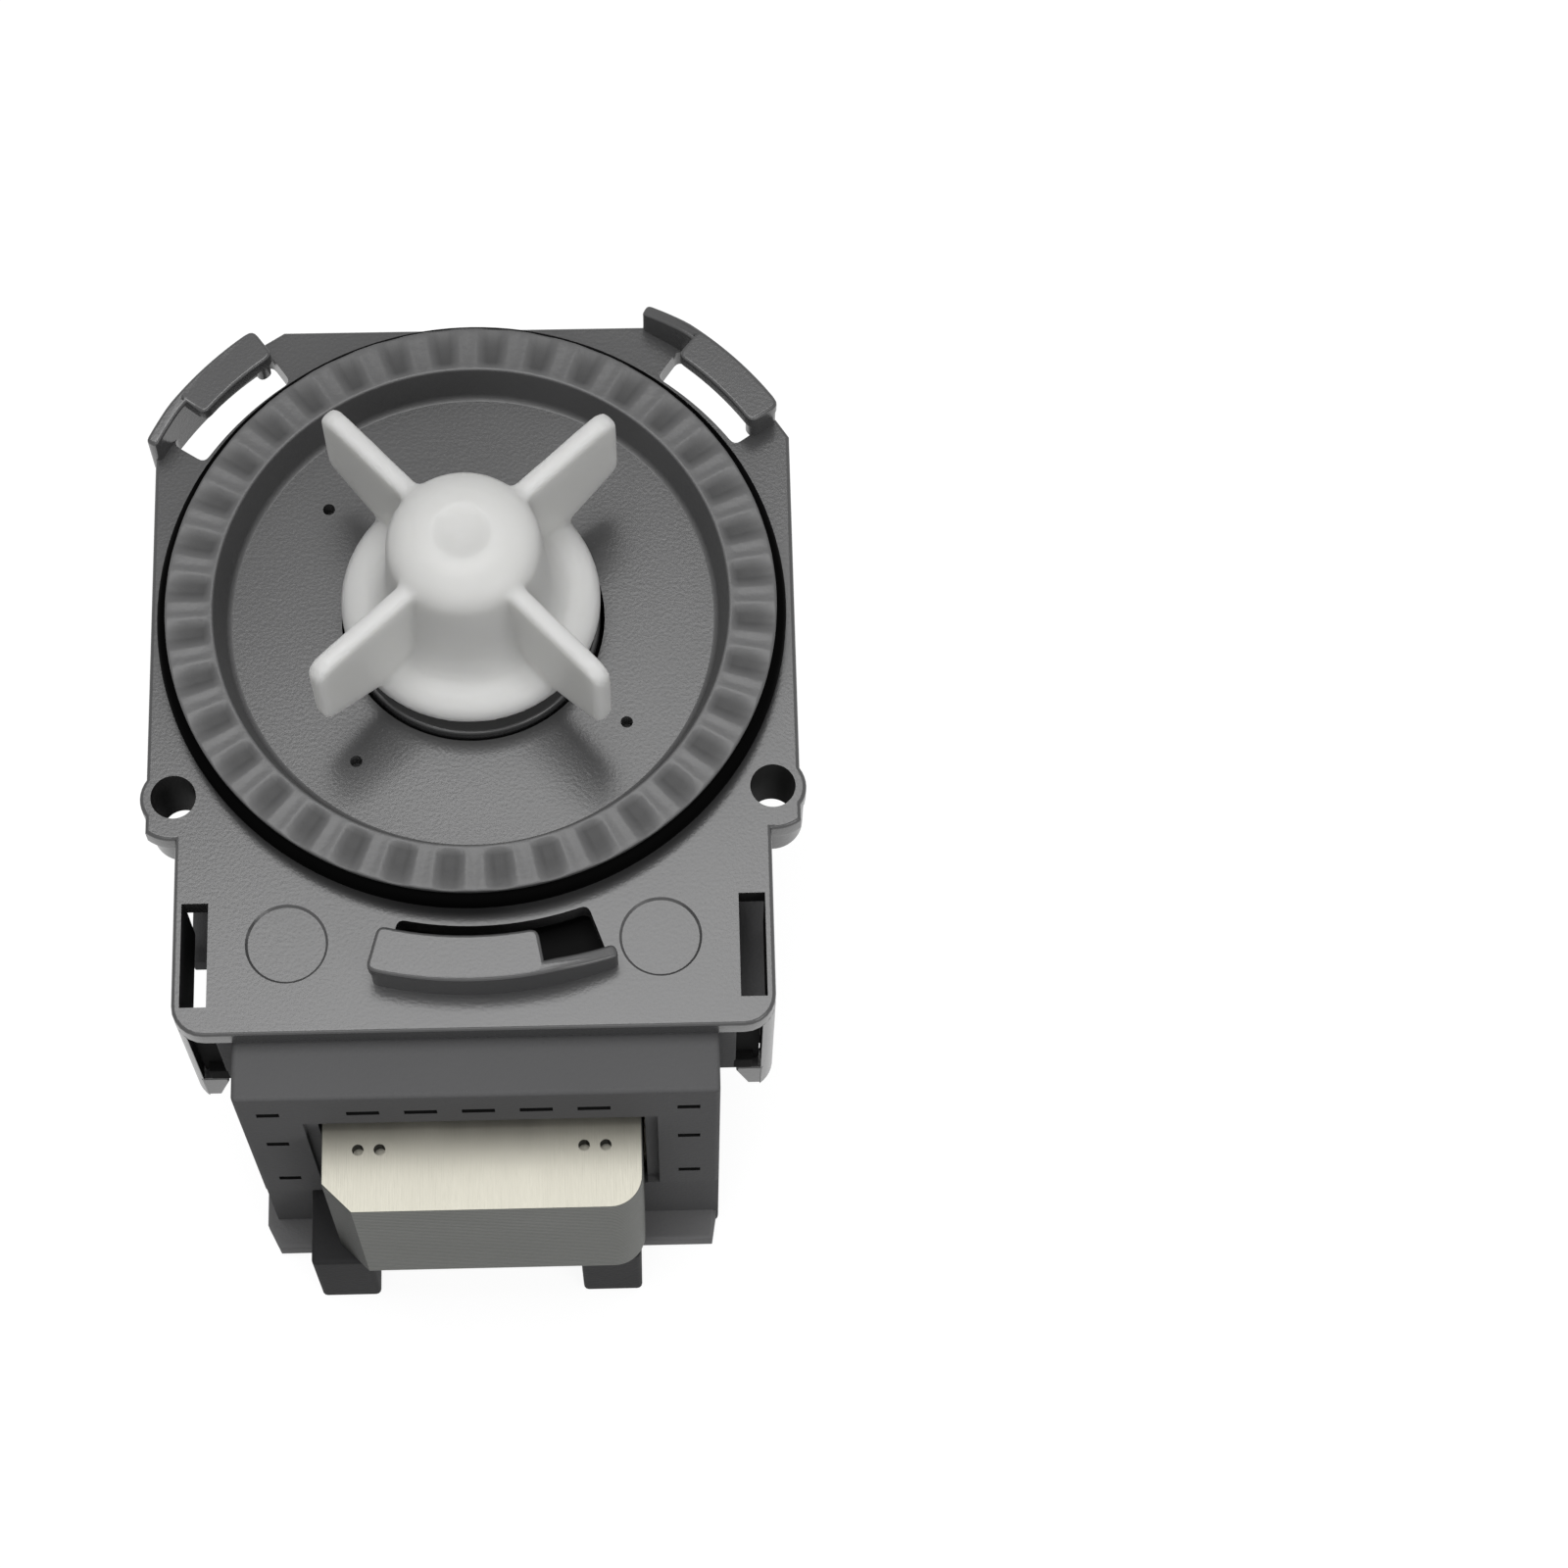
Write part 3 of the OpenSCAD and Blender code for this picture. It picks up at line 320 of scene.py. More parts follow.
# %% Impeller plastic
MILK_DEPTH = 0.006
impeller_white = pump_surface("impeller_milky_plastic", (0.61, 0.61, 0.599), 0.42, grain=500, relief=0.02,
                              mottle=0.02, specular=0.35)
milk = impeller_white.node_tree.nodes["Principled BSDF"]
milk.inputs["Subsurface Weight"].default_value = 1.0
milk.inputs["Subsurface Radius"].default_value = (1, 1, 0.95)
milk.inputs["Subsurface Scale"].default_value = MILK_DEPTH
print("light goes", round(MILK_DEPTH / MM, 1), "mm into the impeller")

# %% [markdown]
# ## Painted shade and duller gloss in the hollows of the boss
# The wreath on top of the boss has flat lands that were polished with the mould, and hollows between them
# that were not, so the hollows are duller. They are also darker, as painted shade. Their faces could get a
# second material, but then the change would come at a hard line. Here it follows the height instead: what
# lies below the lands, and outside the recess, is darkened as painted shade and dulled over a fraction of a
# millimetre, and that takes in the outer wall and the O-ring groove of the boss too. It measures from the
# rotor axis, so it is the same all round.

# %% Heights and radii where the painted shade and the gloss change
SHADE_AND_DULL_LOW, SHADE_AND_DULL_HIGH = 0.00426, 0.00462
SHADE_AND_DULL_IN, SHADE_AND_DULL_OUT = 0.0286, 0.0290
HOLLOW_PAINTED_SHADE, LAND_GLOSS, HOLLOW_GLOSS = 0.45, 0.42, 0.62


def ramp(tree, source, low, high, to_low, to_high):
    """A value that goes from to_low to to_high as the source goes from low to high."""
    step = tree.nodes.new("ShaderNodeMapRange")
    step.inputs["From Min"].default_value = low
    step.inputs["From Max"].default_value = high
    step.inputs["To Min"].default_value = to_low
    step.inputs["To Max"].default_value = to_high
    tree.links.new(source, step.inputs["Value"])
    return step.outputs["Result"]


# %% Where a hollow is: low enough, and far enough from the axis
tree = ring_grey.node_tree
nodes, links = tree.nodes, tree.links
split = nodes.new("ShaderNodeSeparateXYZ")
links.new(nodes["Texture Coordinate"].outputs["Object"], split.inputs[0])
flat_place = nodes.new("ShaderNodeCombineXYZ")
links.new(split.outputs["X"], flat_place.inputs["X"])
links.new(split.outputs["Y"], flat_place.inputs["Y"])
distance = nodes.new("ShaderNodeVectorMath")
distance.operation = "LENGTH"
links.new(flat_place.outputs[0], distance.inputs[0])
in_hollow = nodes.new("ShaderNodeMath")
in_hollow.operation = "MULTIPLY"
links.new(ramp(tree, split.outputs["Z"], SHADE_AND_DULL_LOW, SHADE_AND_DULL_HIGH, 1, 0), in_hollow.inputs[0])
links.new(ramp(tree, distance.outputs["Value"], SHADE_AND_DULL_IN, SHADE_AND_DULL_OUT, 0, 1), in_hollow.inputs[1])
print("hollows lie under", round(SHADE_AND_DULL_HIGH / MM, 2), "mm")

# %% Painted shade and duller gloss there
# painted shade: the colour is scaled down in the hollows and below the lands
hollow_painted_shade = nodes.new("ShaderNodeVectorMath")
hollow_painted_shade.operation = "SCALE"
ring_shader = nodes["Principled BSDF"]
links.new(nodes["Mix"].outputs["Result"], hollow_painted_shade.inputs[0])
links.new(ramp(tree, in_hollow.outputs[0], 0, 1, 1, HOLLOW_PAINTED_SHADE), hollow_painted_shade.inputs["Scale"])
links.new(hollow_painted_shade.outputs["Vector"], ring_shader.inputs["Base Color"])
links.new(ramp(tree, in_hollow.outputs[0], 0, 1, LAND_GLOSS, HOLLOW_GLOSS), ring_shader.inputs["Roughness"])
print("hollows keep", HOLLOW_PAINTED_SHADE, "of the colour")

# %% [markdown]
# ## Floor finish
# White paper lights an object from below and kills its contact shadow in the picture. A grey floor keeps
# the shadow, but then the background isn't white. So the paper is grey to the light, and glows for the
# camera only, by just as much as it needs to turn white.

# %% Floor paper
PAPER_GLOW = 0.90
floor_material = pump_surface("floor_paper", (0.16, 0.16, 0.16), 0.9, grain=300, relief=0.02, mottle=0.01)
floor_mesh.materials.append(floor_material)
nodes, links = floor_material.node_tree.nodes, floor_material.node_tree.links
lift = nodes.new("ShaderNodeMath")
lift.operation = "MULTIPLY"
lift.inputs[1].default_value = PAPER_GLOW
links.new(seen_rays(floor_material.node_tree), lift.inputs[0])
glow = nodes.new("ShaderNodeEmission")
links.new(lift.outputs[0], glow.inputs["Strength"])
both = nodes.new("ShaderNodeAddShader")
links.new(nodes["Principled BSDF"].outputs[0], both.inputs[0])
links.new(glow.outputs[0], both.inputs[1])
links.new(both.outputs[0], nodes["Material Output"].inputs["Surface"])
print("paper glow", PAPER_GLOW)

# %% [markdown]
# ## Finishes for the CAD solids
# The record names a material slot for each solid of the pump. The finishes could be given one by one, but
# a table from slot to finish can't forget one, and says at a glance what is made of what.

# %% Slots of the record and the finish that each one gets
FINISHES = {"plate_plastic": plate_grey, "housing_plastic": housing_grey, "impeller_plastic": impeller_white,
            "seal_rubber": seal_black, "bush_carbon": bush_black, "shaft_steel": shaft_bright,
            "magnet_ferrite": magnet_dark, "rotor_plastic": rotor_white, "washer_plastic": washer_tan,
            "dog_plastic": dog_grey, "core_steel": core_steel, "bobbin_plastic": bobbin_cream,
            "winding_copper": winding_red, "fuse_metal": fuse_silver, "terminal_brass": tab_tinned}
for part in frame["record"]["subparts"]:
    node = frame["nodes"][part["node"]]
    node.data.materials.clear()
    node.data.materials.append(FINISHES[part["material_slot"]])

# %% [markdown]
# ## From a bmesh to a piece of the pump
# A bmesh is a mesh on the workbench: it can be cut, turned and rounded before it becomes an object. Each
# one is drawn in millimetres and scaled once, at the end. The object could be moved to its place, but its
# place is in the mesh instead and the object stays at the origin, so that noise on Object coordinates
# runs on from one piece to the next. Faces that meet at more than the crease angle keep a sharp edge, and
# the Weighted Normal modifier keeps large faces flat beside their rounded rims.


# %% Finishing a piece
def finish_piece(name, bm, material, body, replaces=(), crease=35):
    """Turns a bmesh in millimetres into a piece that rides on a body of the frame."""
    bmesh.ops.remove_doubles(bm, verts=bm.verts, dist=1e-5)
    bmesh.ops.recalc_face_normals(bm, faces=bm.faces)
    bmesh.ops.scale(bm, vec=(MM, MM, MM), verts=bm.verts)
    mesh = bpy.data.meshes.new(name)
    bm.to_mesh(mesh)
    bm.free()
    mesh.shade_smooth()
    mesh.set_sharp_from_angle(angle=radians(crease))
    mesh.materials.append(material)
    piece = bpy.data.objects.new(name, mesh)
    scene.collection.objects.link(piece)
    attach(piece, body)
    if replaces:
        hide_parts(*replaces)
    even = piece.modifiers.new("even_shading", "WEIGHTED_NORMAL")
    even.keep_sharp = True
    print(name, "faces", len(mesh.polygons))
    return piece


def plate_piece(name, bm, replaces=(), crease=35):
    return finish_piece(name, bm, plate_grey, "stator", replaces, crease)


def housing_piece(name, bm, replaces=(), crease=35):
    return finish_piece(name, bm, housing_grey, "stator", replaces, crease)


# %% [markdown]
# ## Painted shade in dark places
# The walls of a narrow slot look black on the real pump. Ray tracing darkens them too, but not as far, and
# weaker lamps would dim everything else as well. So the faces of a slot are chosen by where they lie, and
# get painted shade: a near-black copy of their plastic.


# %% Painting shade on the faces that lie in a dark place
def paint_shade_on_faces(piece, shade, in_the_dark):
    """in_the_dark takes a face and its middle in millimetres, and says whether it gets the painted shade."""
    piece.data.materials.append(shade)
    count = 0
    for face in piece.data.polygons:
        x, y, z = face.center / MM
        if in_the_dark(face, x, y, z):
            face.material_index = 1
            count += 1
    print(piece.name, "faces in the shade", count)


# %% [markdown]
# ## Flange plate
# The plate is the face of the pump: one flat moulding, 3 mm thick, with two screw ears, soft upper edges
# and five slots, and it closes the sump of the machine. It could be a box with live Bevel and Boolean
# modifiers, but a bevel that comes after the cuts goes wrong at their corners. So its outline is drawn as
# arcs and lines, extruded, rounded while it is still one clean face, and cut only then.

# %% Plate sizes, in millimetres
PLATE_T, PLATE_HALF, FRONT_HALF = 3.0, 35.9, 32.6
PLATE_BACK, PLATE_FRONT, CORNER_R = 36.0, -48.0, 3.5
SCREW_X, SCREW_Y, SCREW_R = 32.9, -20.6, 2.5
EAR_R, SHOULDER_R, SHOULDER_START = 3.7, 5.0, -93.4
CLAW_R, FRONT_CLAW_R = 42.0, 44.0
print("plate", 2 * PLATE_HALF, "by", PLATE_BACK - PLATE_FRONT, "mm")


# %% Plate outline
def arc(centre, radius, start, end, steps):
    """Points on a circle's arc, with the angles in degrees."""
    angles = [radians(start + (end - start) * i / steps) for i in range(steps + 1)]
    return [(centre[0] + radius * cos(a), centre[1] + radius * sin(a)) for a in angles]


def plate_right_side():
    """The right half of the outline, from the front edge to the back edge."""
    overhang = PLATE_HALF - SCREW_X
    ear_edge = degrees(atan2(sqrt(EAR_R ** 2 - overhang ** 2), overhang))
    shoulder_top = degrees(atan2(sqrt(SHOULDER_R ** 2 - overhang ** 2), overhang))
    side_top = degrees(atan2(sqrt(CLAW_R ** 2 - PLATE_HALF ** 2), PLATE_HALF))
    back_start = degrees(atan2(PLATE_BACK, sqrt(CLAW_R ** 2 - PLATE_BACK ** 2)))
    corner = arc((FRONT_HALF - CORNER_R, PLATE_FRONT + CORNER_R), CORNER_R, -90, 0, 6)
    shoulder = arc((SCREW_X, SCREW_Y), SHOULDER_R, SHOULDER_START, -shoulder_top, 6)
    ear = arc((SCREW_X, SCREW_Y), EAR_R, -ear_edge, ear_edge, 8)
    rear_corner = arc((0, 0), CLAW_R, side_top, back_start, 8)
    return corner + shoulder + ear + rear_corner


right = plate_right_side()
outline = right + [(-x, y) for x, y in reversed(right)]
print("points in the plate's outline:", len(outline))

# %% [markdown]
# ## Slabs, blocks and turned forms
# Nearly everything on the pump is one of three shapes: a slab with an outline, a rounded block, or a form
# turned on a lathe. Each could be built from a list of faces, but an operator makes the same shape with
# its faces closed: extrude for the slab, a scaled cube for the block, and spin for the turned form. The
# bevel runs while the shape is still simple, so every rim gets an even width and a highlight of its own.


# %% Slabs with soft rims
def round_edges(bm, edges, radius, segments=3):
    bmesh.ops.bevel(bm, geom=edges, offset=radius, offset_type="OFFSET", segments=segments,
                    profile=0.5, affect="EDGES", clamp_overlap=True, material=-1)


def extrude_outline(points, low, high, top_edge=0.0, low_edge=0.0, segments=3):
    """A slab with the given outline. Its upper and lower rims can be rounded."""
    bm = bmesh.new()
    face = bm.faces.new([bm.verts.new((x, y, low)) for x, y in points])
    lifted = bmesh.ops.extrude_face_region(bm, geom=[face])["geom"]
    top = [v for v in lifted if isinstance(v, bmesh.types.BMVert)]
    bmesh.ops.translate(bm, vec=(0, 0, high - low), verts=top)
    for level, radius in ((high, top_edge), (low, low_edge)):
        if radius:
            rim = [e for e in bm.edges if all(abs(v.co.z - level) < 1e-4 for v in e.verts)]
            round_edges(bm, rim, radius, segments)
    return bm


# %% Blocks and rods
def box_mesh(low, high, edge=0.0, segments=2):
    """A block between two corners, with all its edges rounded."""
    bm = bmesh.new()
    size = [h - l for l, h in zip(low, high)]
    middle = [(h + l) / 2 for l, h in zip(low, high)]
    bmesh.ops.create_cube(bm, size=1)
    bmesh.ops.scale(bm, vec=size, verts=bm.verts)
    bmesh.ops.translate(bm, vec=middle, verts=bm.verts)
    if edge:
        round_edges(bm, bm.edges[:], edge, segments)
    return bm


def rod(x, y, radius, low, high, steps=48):
    bm = bmesh.new()
    bmesh.ops.create_cone(bm, cap_ends=True, segments=steps, radius1=radius, radius2=radius,
                          depth=high - low)
    bmesh.ops.translate(bm, vec=(x, y, (low + high) / 2), verts=bm.verts)
    return bm


# %% Turned forms and round corners
def lathe(profile, steps=128):
    """A profile of (radius, height) points, turned once round the rotor axis."""
    bm = bmesh.new()
    verts = [bm.verts.new((r, 0, z)) for r, z in profile]
    edges = [bm.edges.new(pair) for pair in zip(verts, verts[1:])]
    bmesh.ops.spin(bm, geom=verts + edges, cent=(0, 0, 0), axis=(0, 0, 1), angle=2 * pi,
                   steps=steps, use_merge=True)
    bmesh.ops.remove_doubles(bm, verts=bm.verts, dist=1e-4)
    return bm


def rounded_profile(points, radii, steps=4):
    """A polygon whose corners are rounded, closed by its first point."""
    outline = []
    for i, (corner, radius) in enumerate(zip(points, radii)):
        here = Vector(corner)
        before = Vector(points[i - 1])
        after = Vector(points[(i + 1) % len(points)])
        if not radius:
            outline.append(here)
            continue
        start = here + (before - here).normalized() * radius
        end = here + (after - here).normalized() * radius
        for k in range(steps + 1):
            t = k / steps
            outline.append((1 - t) ** 2 * start + 2 * t * (1 - t) * here + t ** 2 * end)
    return [tuple(p) for p in outline] + [tuple(outline[0])]


# %% Curved slabs for the claws and their slots
def sector(r_in, r_out, start, end, low, high, steps=14, edge=0.0, corner=0.0):
    """A slab between two radii and two angles. Its corners and its upper rim can be rounded."""
    points = arc((0, 0), r_out, start, end, steps) + arc((0, 0), r_in, end, start, steps)
    if corner:
        corners = (0, steps, steps + 1, 2 * steps + 1)
        points = rounded_profile(points, [corner if i in corners else 0 for i in range(len(points))])[:-1]
    return extrude_outline(points, low, high, top_edge=edge)


# %% [markdown]
# ## Joining and cutting solids
# Holes and slots are cut the way a mould core makes them: a solid is taken away from another. The Boolean
# could stay on the piece as a live modifier, but each cutter would then be an object of its own in the
# scene. The helper puts the two solids in the scene for a moment, reads the result back, and throws them
# away.


# %% Taking away and joining
def combine(bm, cutters, operation="DIFFERENCE"):
    """The solid with each cutter taken away from it or joined to it."""
    for cutter in cutters:
        objects = []
        for source in (bm, cutter):
            bmesh.ops.recalc_face_normals(source, faces=source.faces)
            mesh = bpy.data.meshes.new("solid")
            source.to_mesh(mesh)
            source.free()
            objects.append(bpy.data.objects.new("solid", mesh))
            scene.collection.objects.link(objects[-1])
        solid, tool = objects
        step = solid.modifiers.new("combine", "BOOLEAN")
        step.object = tool
        step.operation = operation
        step.solver = "EXACT"
        bm = bmesh.new()
        bm.from_object(solid, bpy.context.evaluated_depsgraph_get())
        for thing in objects:
            mesh = thing.data
            bpy.data.objects.remove(thing)
            bpy.data.meshes.remove(mesh)
    return bm


def fuse(parts):
    """Several overlapping solids as one, with no faces left inside."""
    return combine(parts[0], parts[1:], "UNION")


# %% [markdown]
# ## What is cut out of the plate
# The plate has the mouth of the rotor can, two screw holes, three pin holes in the recess floor, two
# straight slots for the snap arms and three curved ones under the claws. Two round marks show where
# ejector pins pushed the plate out of its mould. A bump map could draw the marks, but their rim catches
# the light, so they are shallow dishes with a sloping wall.

# %% Sizes of holes and slots
MOUTH_R, SLEEVE_LOW = 14.65, -11.0
PIN_HOLE_ANGLES, PIN_HOLE_PLACE, PIN_HOLE_R, PIN_HOLE_LOW = (140, 232.5, 323), 21.2, 0.68, -2.4
SLOT_IN, SLOT_OUT, SLOT_FRONT, SLOT_BACK = 28.8, 31.7, -44.8, -33.0
MARK_X, MARK_Y, MARK_R, MARK_DEPTH, MARK_SLOPE = 20.25, -37.8, 4.5, 0.28, 0.28
CUT_LOW, CUT_HIGH = -PLATE_T - 1, 1
print("side slots", round(SLOT_OUT - SLOT_IN, 1), "by", round(SLOT_BACK - SLOT_FRONT, 1), "mm")


def shallow_mark(x, y):
    """The print of an ejector pin: a flat dish with a sloping rim."""
    bm = lathe([(0, -MARK_DEPTH), (MARK_R - MARK_SLOPE, -MARK_DEPTH), (MARK_R + 0.02, 0.02),
                (MARK_R + 0.02, 1), (0, 1)], 64)
    bmesh.ops.translate(bm, vec=(x, y, 0), verts=bm.verts)
    return bm


# %% Round holes, marks and side slots
plate_cutters = [rod(0, 0, MOUTH_R, CUT_LOW, CUT_HIGH, 128)]
for angle in PIN_HOLE_ANGLES:
    x = PIN_HOLE_PLACE * cos(radians(angle))
    y = PIN_HOLE_PLACE * sin(radians(angle))
    plate_cutters.append(rod(x, y, PIN_HOLE_R, PIN_HOLE_LOW, CUT_HIGH, 24))
for side in (-1, 1):
    slot_left, slot_right = sorted((side * SLOT_IN, side * SLOT_OUT))
    plate_cutters.append(rod(side * SCREW_X, SCREW_Y, SCREW_R, SLEEVE_LOW - 1, CUT_HIGH))
    plate_cutters.append(shallow_mark(side * MARK_X, MARK_Y))
    plate_cutters.append(box_mesh((slot_left, SLOT_FRONT, CUT_LOW), (slot_right, SLOT_BACK, CUT_HIGH)))
print("cutters:", len(plate_cutters))

# %% Slots under the claws
BOSS_R, CLAW_WALL, CLAW_GAP = 33.8, 1.5, 2.4
CLAW_SLOTS = {"left": (125, 147, CLAW_R), "right": (35, 54.5, CLAW_R), "front": (256.8, 290, FRONT_CLAW_R)}
for start, end, radius in CLAW_SLOTS.values():
    plate_cutters.append(sector(BOSS_R + CLAW_GAP, radius - CLAW_WALL, start, end, CUT_LOW, CUT_HIGH,
                                corner=0.9))
print("cutters with the claw slots:", len(plate_cutters))

# %% Plate
plate_bm = extrude_outline(outline, -PLATE_T, 0, top_edge=0.45, low_edge=0.3)
sleeves = [rod(side * SCREW_X, SCREW_Y, EAR_R - 0.2, SLEEVE_LOW, -PLATE_T / 2) for side in (-1, 1)]
plate_bm = combine(combine(plate_bm, sleeves, "UNION"), plate_cutters)
plate = plate_piece("plate", plate_bm, ["flange_plate"])


# %% Painted shade on the walls of the side slots and the screw holes
NEAR, LIT_EDGE = 0.1, -0.4


def in_plate_cut(face, x, y, z):
    """True on the walls of these cuts, below their lit upper edge."""
    in_side_slot = SLOT_IN - NEAR < abs(x) < SLOT_OUT + NEAR and SLOT_FRONT - NEAR < y < SLOT_BACK + NEAR
    in_screw_hole = (abs(x) - SCREW_X) ** 2 + (y - SCREW_Y) ** 2 < (SCREW_R + NEAR) ** 2
    return z < LIT_EDGE and (in_screw_hole or in_side_slot and z > -PLATE_T)


paint_shade_on_faces(plate, plate_painted_shade, in_plate_cut)

# %% [markdown]
# ## Spigot boss
# The boss is the round wall that plugs into the sump, with a groove for its O-ring. Its top is a wreath
# of 36 flat lands with hollows between them, where the mould saves plastic. Each hollow could be cut with
# a Boolean, but their walls are soft and fade out towards the rim. So the whole profile is spun in many
# small steps, as on a lathe, and only the points of the top that lie in a hollow are sunk.

# %% Boss sizes
BOSS_H, RECESS_R, RECESS_TOP_R = 4.7, 27.3, 28.5
GROOVE_R, GROOVE_LOW, GROOVE_TOP = 31.87, 0.7, 4.0
LANDS, LAND_STEPS, LAND_DISH = 36, 24, 0.12
FIRST_HOLLOW, HOLLOW_DEPTH, HOLLOW_SHARE, HOLLOW_START = 5.6, 0.45, 0.42, 28.9
HOLLOW_WALL, TOP_LAYER, FADE_IN, FADE_OUT = 0.22, 0.35, 0.8, 3.2
print("boss", 2 * BOSS_R, "mm across and", BOSS_H, "mm high")

# %% Boss profile, spun
boss_corners = ([(RECESS_R, -0.03), (RECESS_TOP_R, BOSS_H)]
                + [(HOLLOW_START + step, BOSS_H) for step in (0, 0.35, 0.8)]
                + [(BOSS_R - step, BOSS_H) for step in (2.4, 1.6, 0.8, 0)]
                + [(BOSS_R, GROOVE_TOP), (GROOVE_R, GROOVE_TOP)]
                + [(GROOVE_R, GROOVE_LOW), (BOSS_R, GROOVE_LOW)]
                + [(BOSS_R, -0.5), (RECESS_R - 1.5, -0.5), (RECESS_R - 1.5, -0.03)])
boss_radii = [0.7, 0.25, 0, 0, 0, 0, 0, 0, 0.3, 0.1, 0, 0, 0.1, 0, 0, 0]
boss_bm = lathe(rounded_profile(boss_corners, boss_radii), LANDS * LAND_STEPS)
print("points in the spun boss:", len(boss_bm.verts))


# %% Hollows between the lands
def hollow_depth(angle_in_degrees):
    """How deep the top lies at this angle: a hollow with soft walls, or a land dished a little."""
    share = ((angle_in_degrees - FIRST_HOLLOW) * LANDS / 360 + 0.5) % 1 - 0.5
    wall = (HOLLOW_SHARE / 2 - abs(share)) / HOLLOW_WALL
    if wall > -0.5:
        return HOLLOW_DEPTH * min(wall + 0.5, 1)
    return LAND_DISH * min(-wall - 0.5, 1)


for vert in boss_bm.verts:
    radius = sqrt(vert.co.x ** 2 + vert.co.y ** 2)
    if radius > HOLLOW_START + 0.1 and vert.co.z > BOSS_H - TOP_LAYER:
        sunk = hollow_depth(degrees(atan2(vert.co.y, vert.co.x)))
        sunk *= min((radius - HOLLOW_START) / FADE_IN, 1)
        sunk *= min((BOSS_R + 1.2 - radius) / FADE_OUT, 1)
        vert.co.z -= sunk * (vert.co.z - BOSS_H + TOP_LAYER) / TOP_LAYER
finish_piece("spigot_boss", boss_bm, ring_grey, "stator")

# %% [markdown]
# ## O-ring
# A ring of round rubber cord lies in the groove and seals the boss in the sump. Blender has a torus for
# this, but a torus has its own idea of where its faces start. A circle of points is spun instead, as the
# boss was, so that both stay round at the same places.

# %% O-ring
ORING_R, ORING_CORD, ORING_Z = 33.4, 3.0, 2.35
cord = arc((ORING_R, ORING_Z), ORING_CORD / 2, 0, 360, 24)
finish_piece("o_ring_cord", lathe(cord, 160), seal_black, "stator", ["o_ring"], 60)

# %% [markdown]
# ## Bayonet claws
# The pump is pushed into the machine and turned, and three claws hook it there. Each is a curved wall
# with a roof over part of it and an end stop, and the wall falls off towards its open end, as a ramp for
# the turn. One claw could be copied and turned, but the three have other lengths and radii. They have the
# same parts, though, so one function makes them from a table of angles.

# %% Claw sizes, angles in degrees
CLAW_H, CLAW_ROOF, CLAW_EDGE = 5.0, 1.8, 0.4
WALL_LAG, ROOF_LIP, STOP_START, STOP_END = 0.9, 0.5, 0.4, 2.9
RAMP_START, RAMP_FALL = 2, 0.16
CLAWS = {
    "left": {"start": 126, "roof_end": 142, "end": 150.5, "radius": CLAW_R, "reach": 3.6},
    "right": {"start": 34, "roof_end": 52, "end": 61.5, "radius": CLAW_R, "reach": 3.6},
    "front": {"start": 255, "roof_end": 280.5, "end": 291, "radius": FRONT_CLAW_R, "reach": 4.7}}
print("claws stand", CLAW_H, "mm high")


# %% Claws
def claw(name, start, roof_end, end, radius, reach):
    wall = sector(radius - CLAW_WALL, radius, start + WALL_LAG, end, -PLATE_T, CLAW_H, 20, CLAW_EDGE, 0.6)
    for vert in wall.verts:
        past = degrees(atan2(vert.co.y, vert.co.x)) % 360 - roof_end - RAMP_START
        if vert.co.z > 0 and past > 0:
            vert.co.z -= past * RAMP_FALL
    roof = sector(radius - reach - ROOF_LIP, radius - 0.02, start, roof_end, CLAW_H - CLAW_ROOF, CLAW_H, 10,
                  CLAW_EDGE, 1.0)
    stop = sector(radius - reach, radius - 0.04, start + STOP_START, start + STOP_END, -0.3, CLAW_H - 0.4, 1,
                  corner=0.75)
    plate_piece(name, combine(wall, [roof, stop], "UNION"))


for side, sizes in CLAWS.items():
    claw("claw_" + side, **sizes)

# %% [markdown]
# ## Rotor can
# Under the plate hangs the can in which the rotor turns in water, with a collar at its mouth and a pocket
# at its closed end for the rear bush. Two cylinders and a Boolean would make it, but its wall is only 1.2
# mm, and a thin wall shows every slip. Its half section is drawn once, inside and outside, and spun.

# %% Rotor can
CAN_IN, CAN_OUT, CAN_FLOOR, CAN_UNDER = 11.6, 12.8, -47.13, -48.33
SEAT_Z, COLLAR_R, COLLAR_LOW = -7, 16.25, -16.5
BUSH_R, POCKET_R, POCKET_FLOOR, CAN_END = 5.03, 6.63, -55.06, -60
can_corners = [(MOUTH_R, -0.5), (MOUTH_R, SEAT_Z), (CAN_IN, SEAT_Z), (CAN_IN, CAN_FLOOR),
               (BUSH_R, CAN_FLOOR), (BUSH_R, POCKET_FLOOR), (0, POCKET_FLOOR), (0, CAN_END),
               (POCKET_R, CAN_END), (POCKET_R, CAN_UNDER), (CAN_OUT, CAN_UNDER), (CAN_OUT, COLLAR_LOW),
               (COLLAR_R, COLLAR_LOW), (COLLAR_R, -0.5)]
can_radii = [0, 0, 0, 0, 0, 0, 0, 0, 0.5, 0.6, 0.8, 0.3, 0.4, 0]
plate_piece("rotor_can", lathe(rounded_profile(can_corners, can_radii), 96))

# %% [markdown]
# ## Snap arms
# Two springy arms hang from the plate's front corners. A barb on each catches the motor housing, and a
# thin skirt runs back from it along the plate's edge. The arm follows the rounded corner, which a bent
# box can't do, so the strip is the corner's own outline, extruded downwards. The left arm is the right
# one in a mirror, with its faces turned the right way round again.

# %% Snap arm sizes
ARM_IN, ARM_FRONT, ARM_BACK, ARM_LOW, BARB, BARB_H = 31.1, -47.3, -44.9, -25.0, 2.7, 6.0
SKIRT_H, THIN_EDGE, FACING = 10, 0.2, 0.9
INTO_PLATE = -PLATE_T + 0.3
print("arms hang", -PLATE_T - ARM_LOW, "mm under the plate")


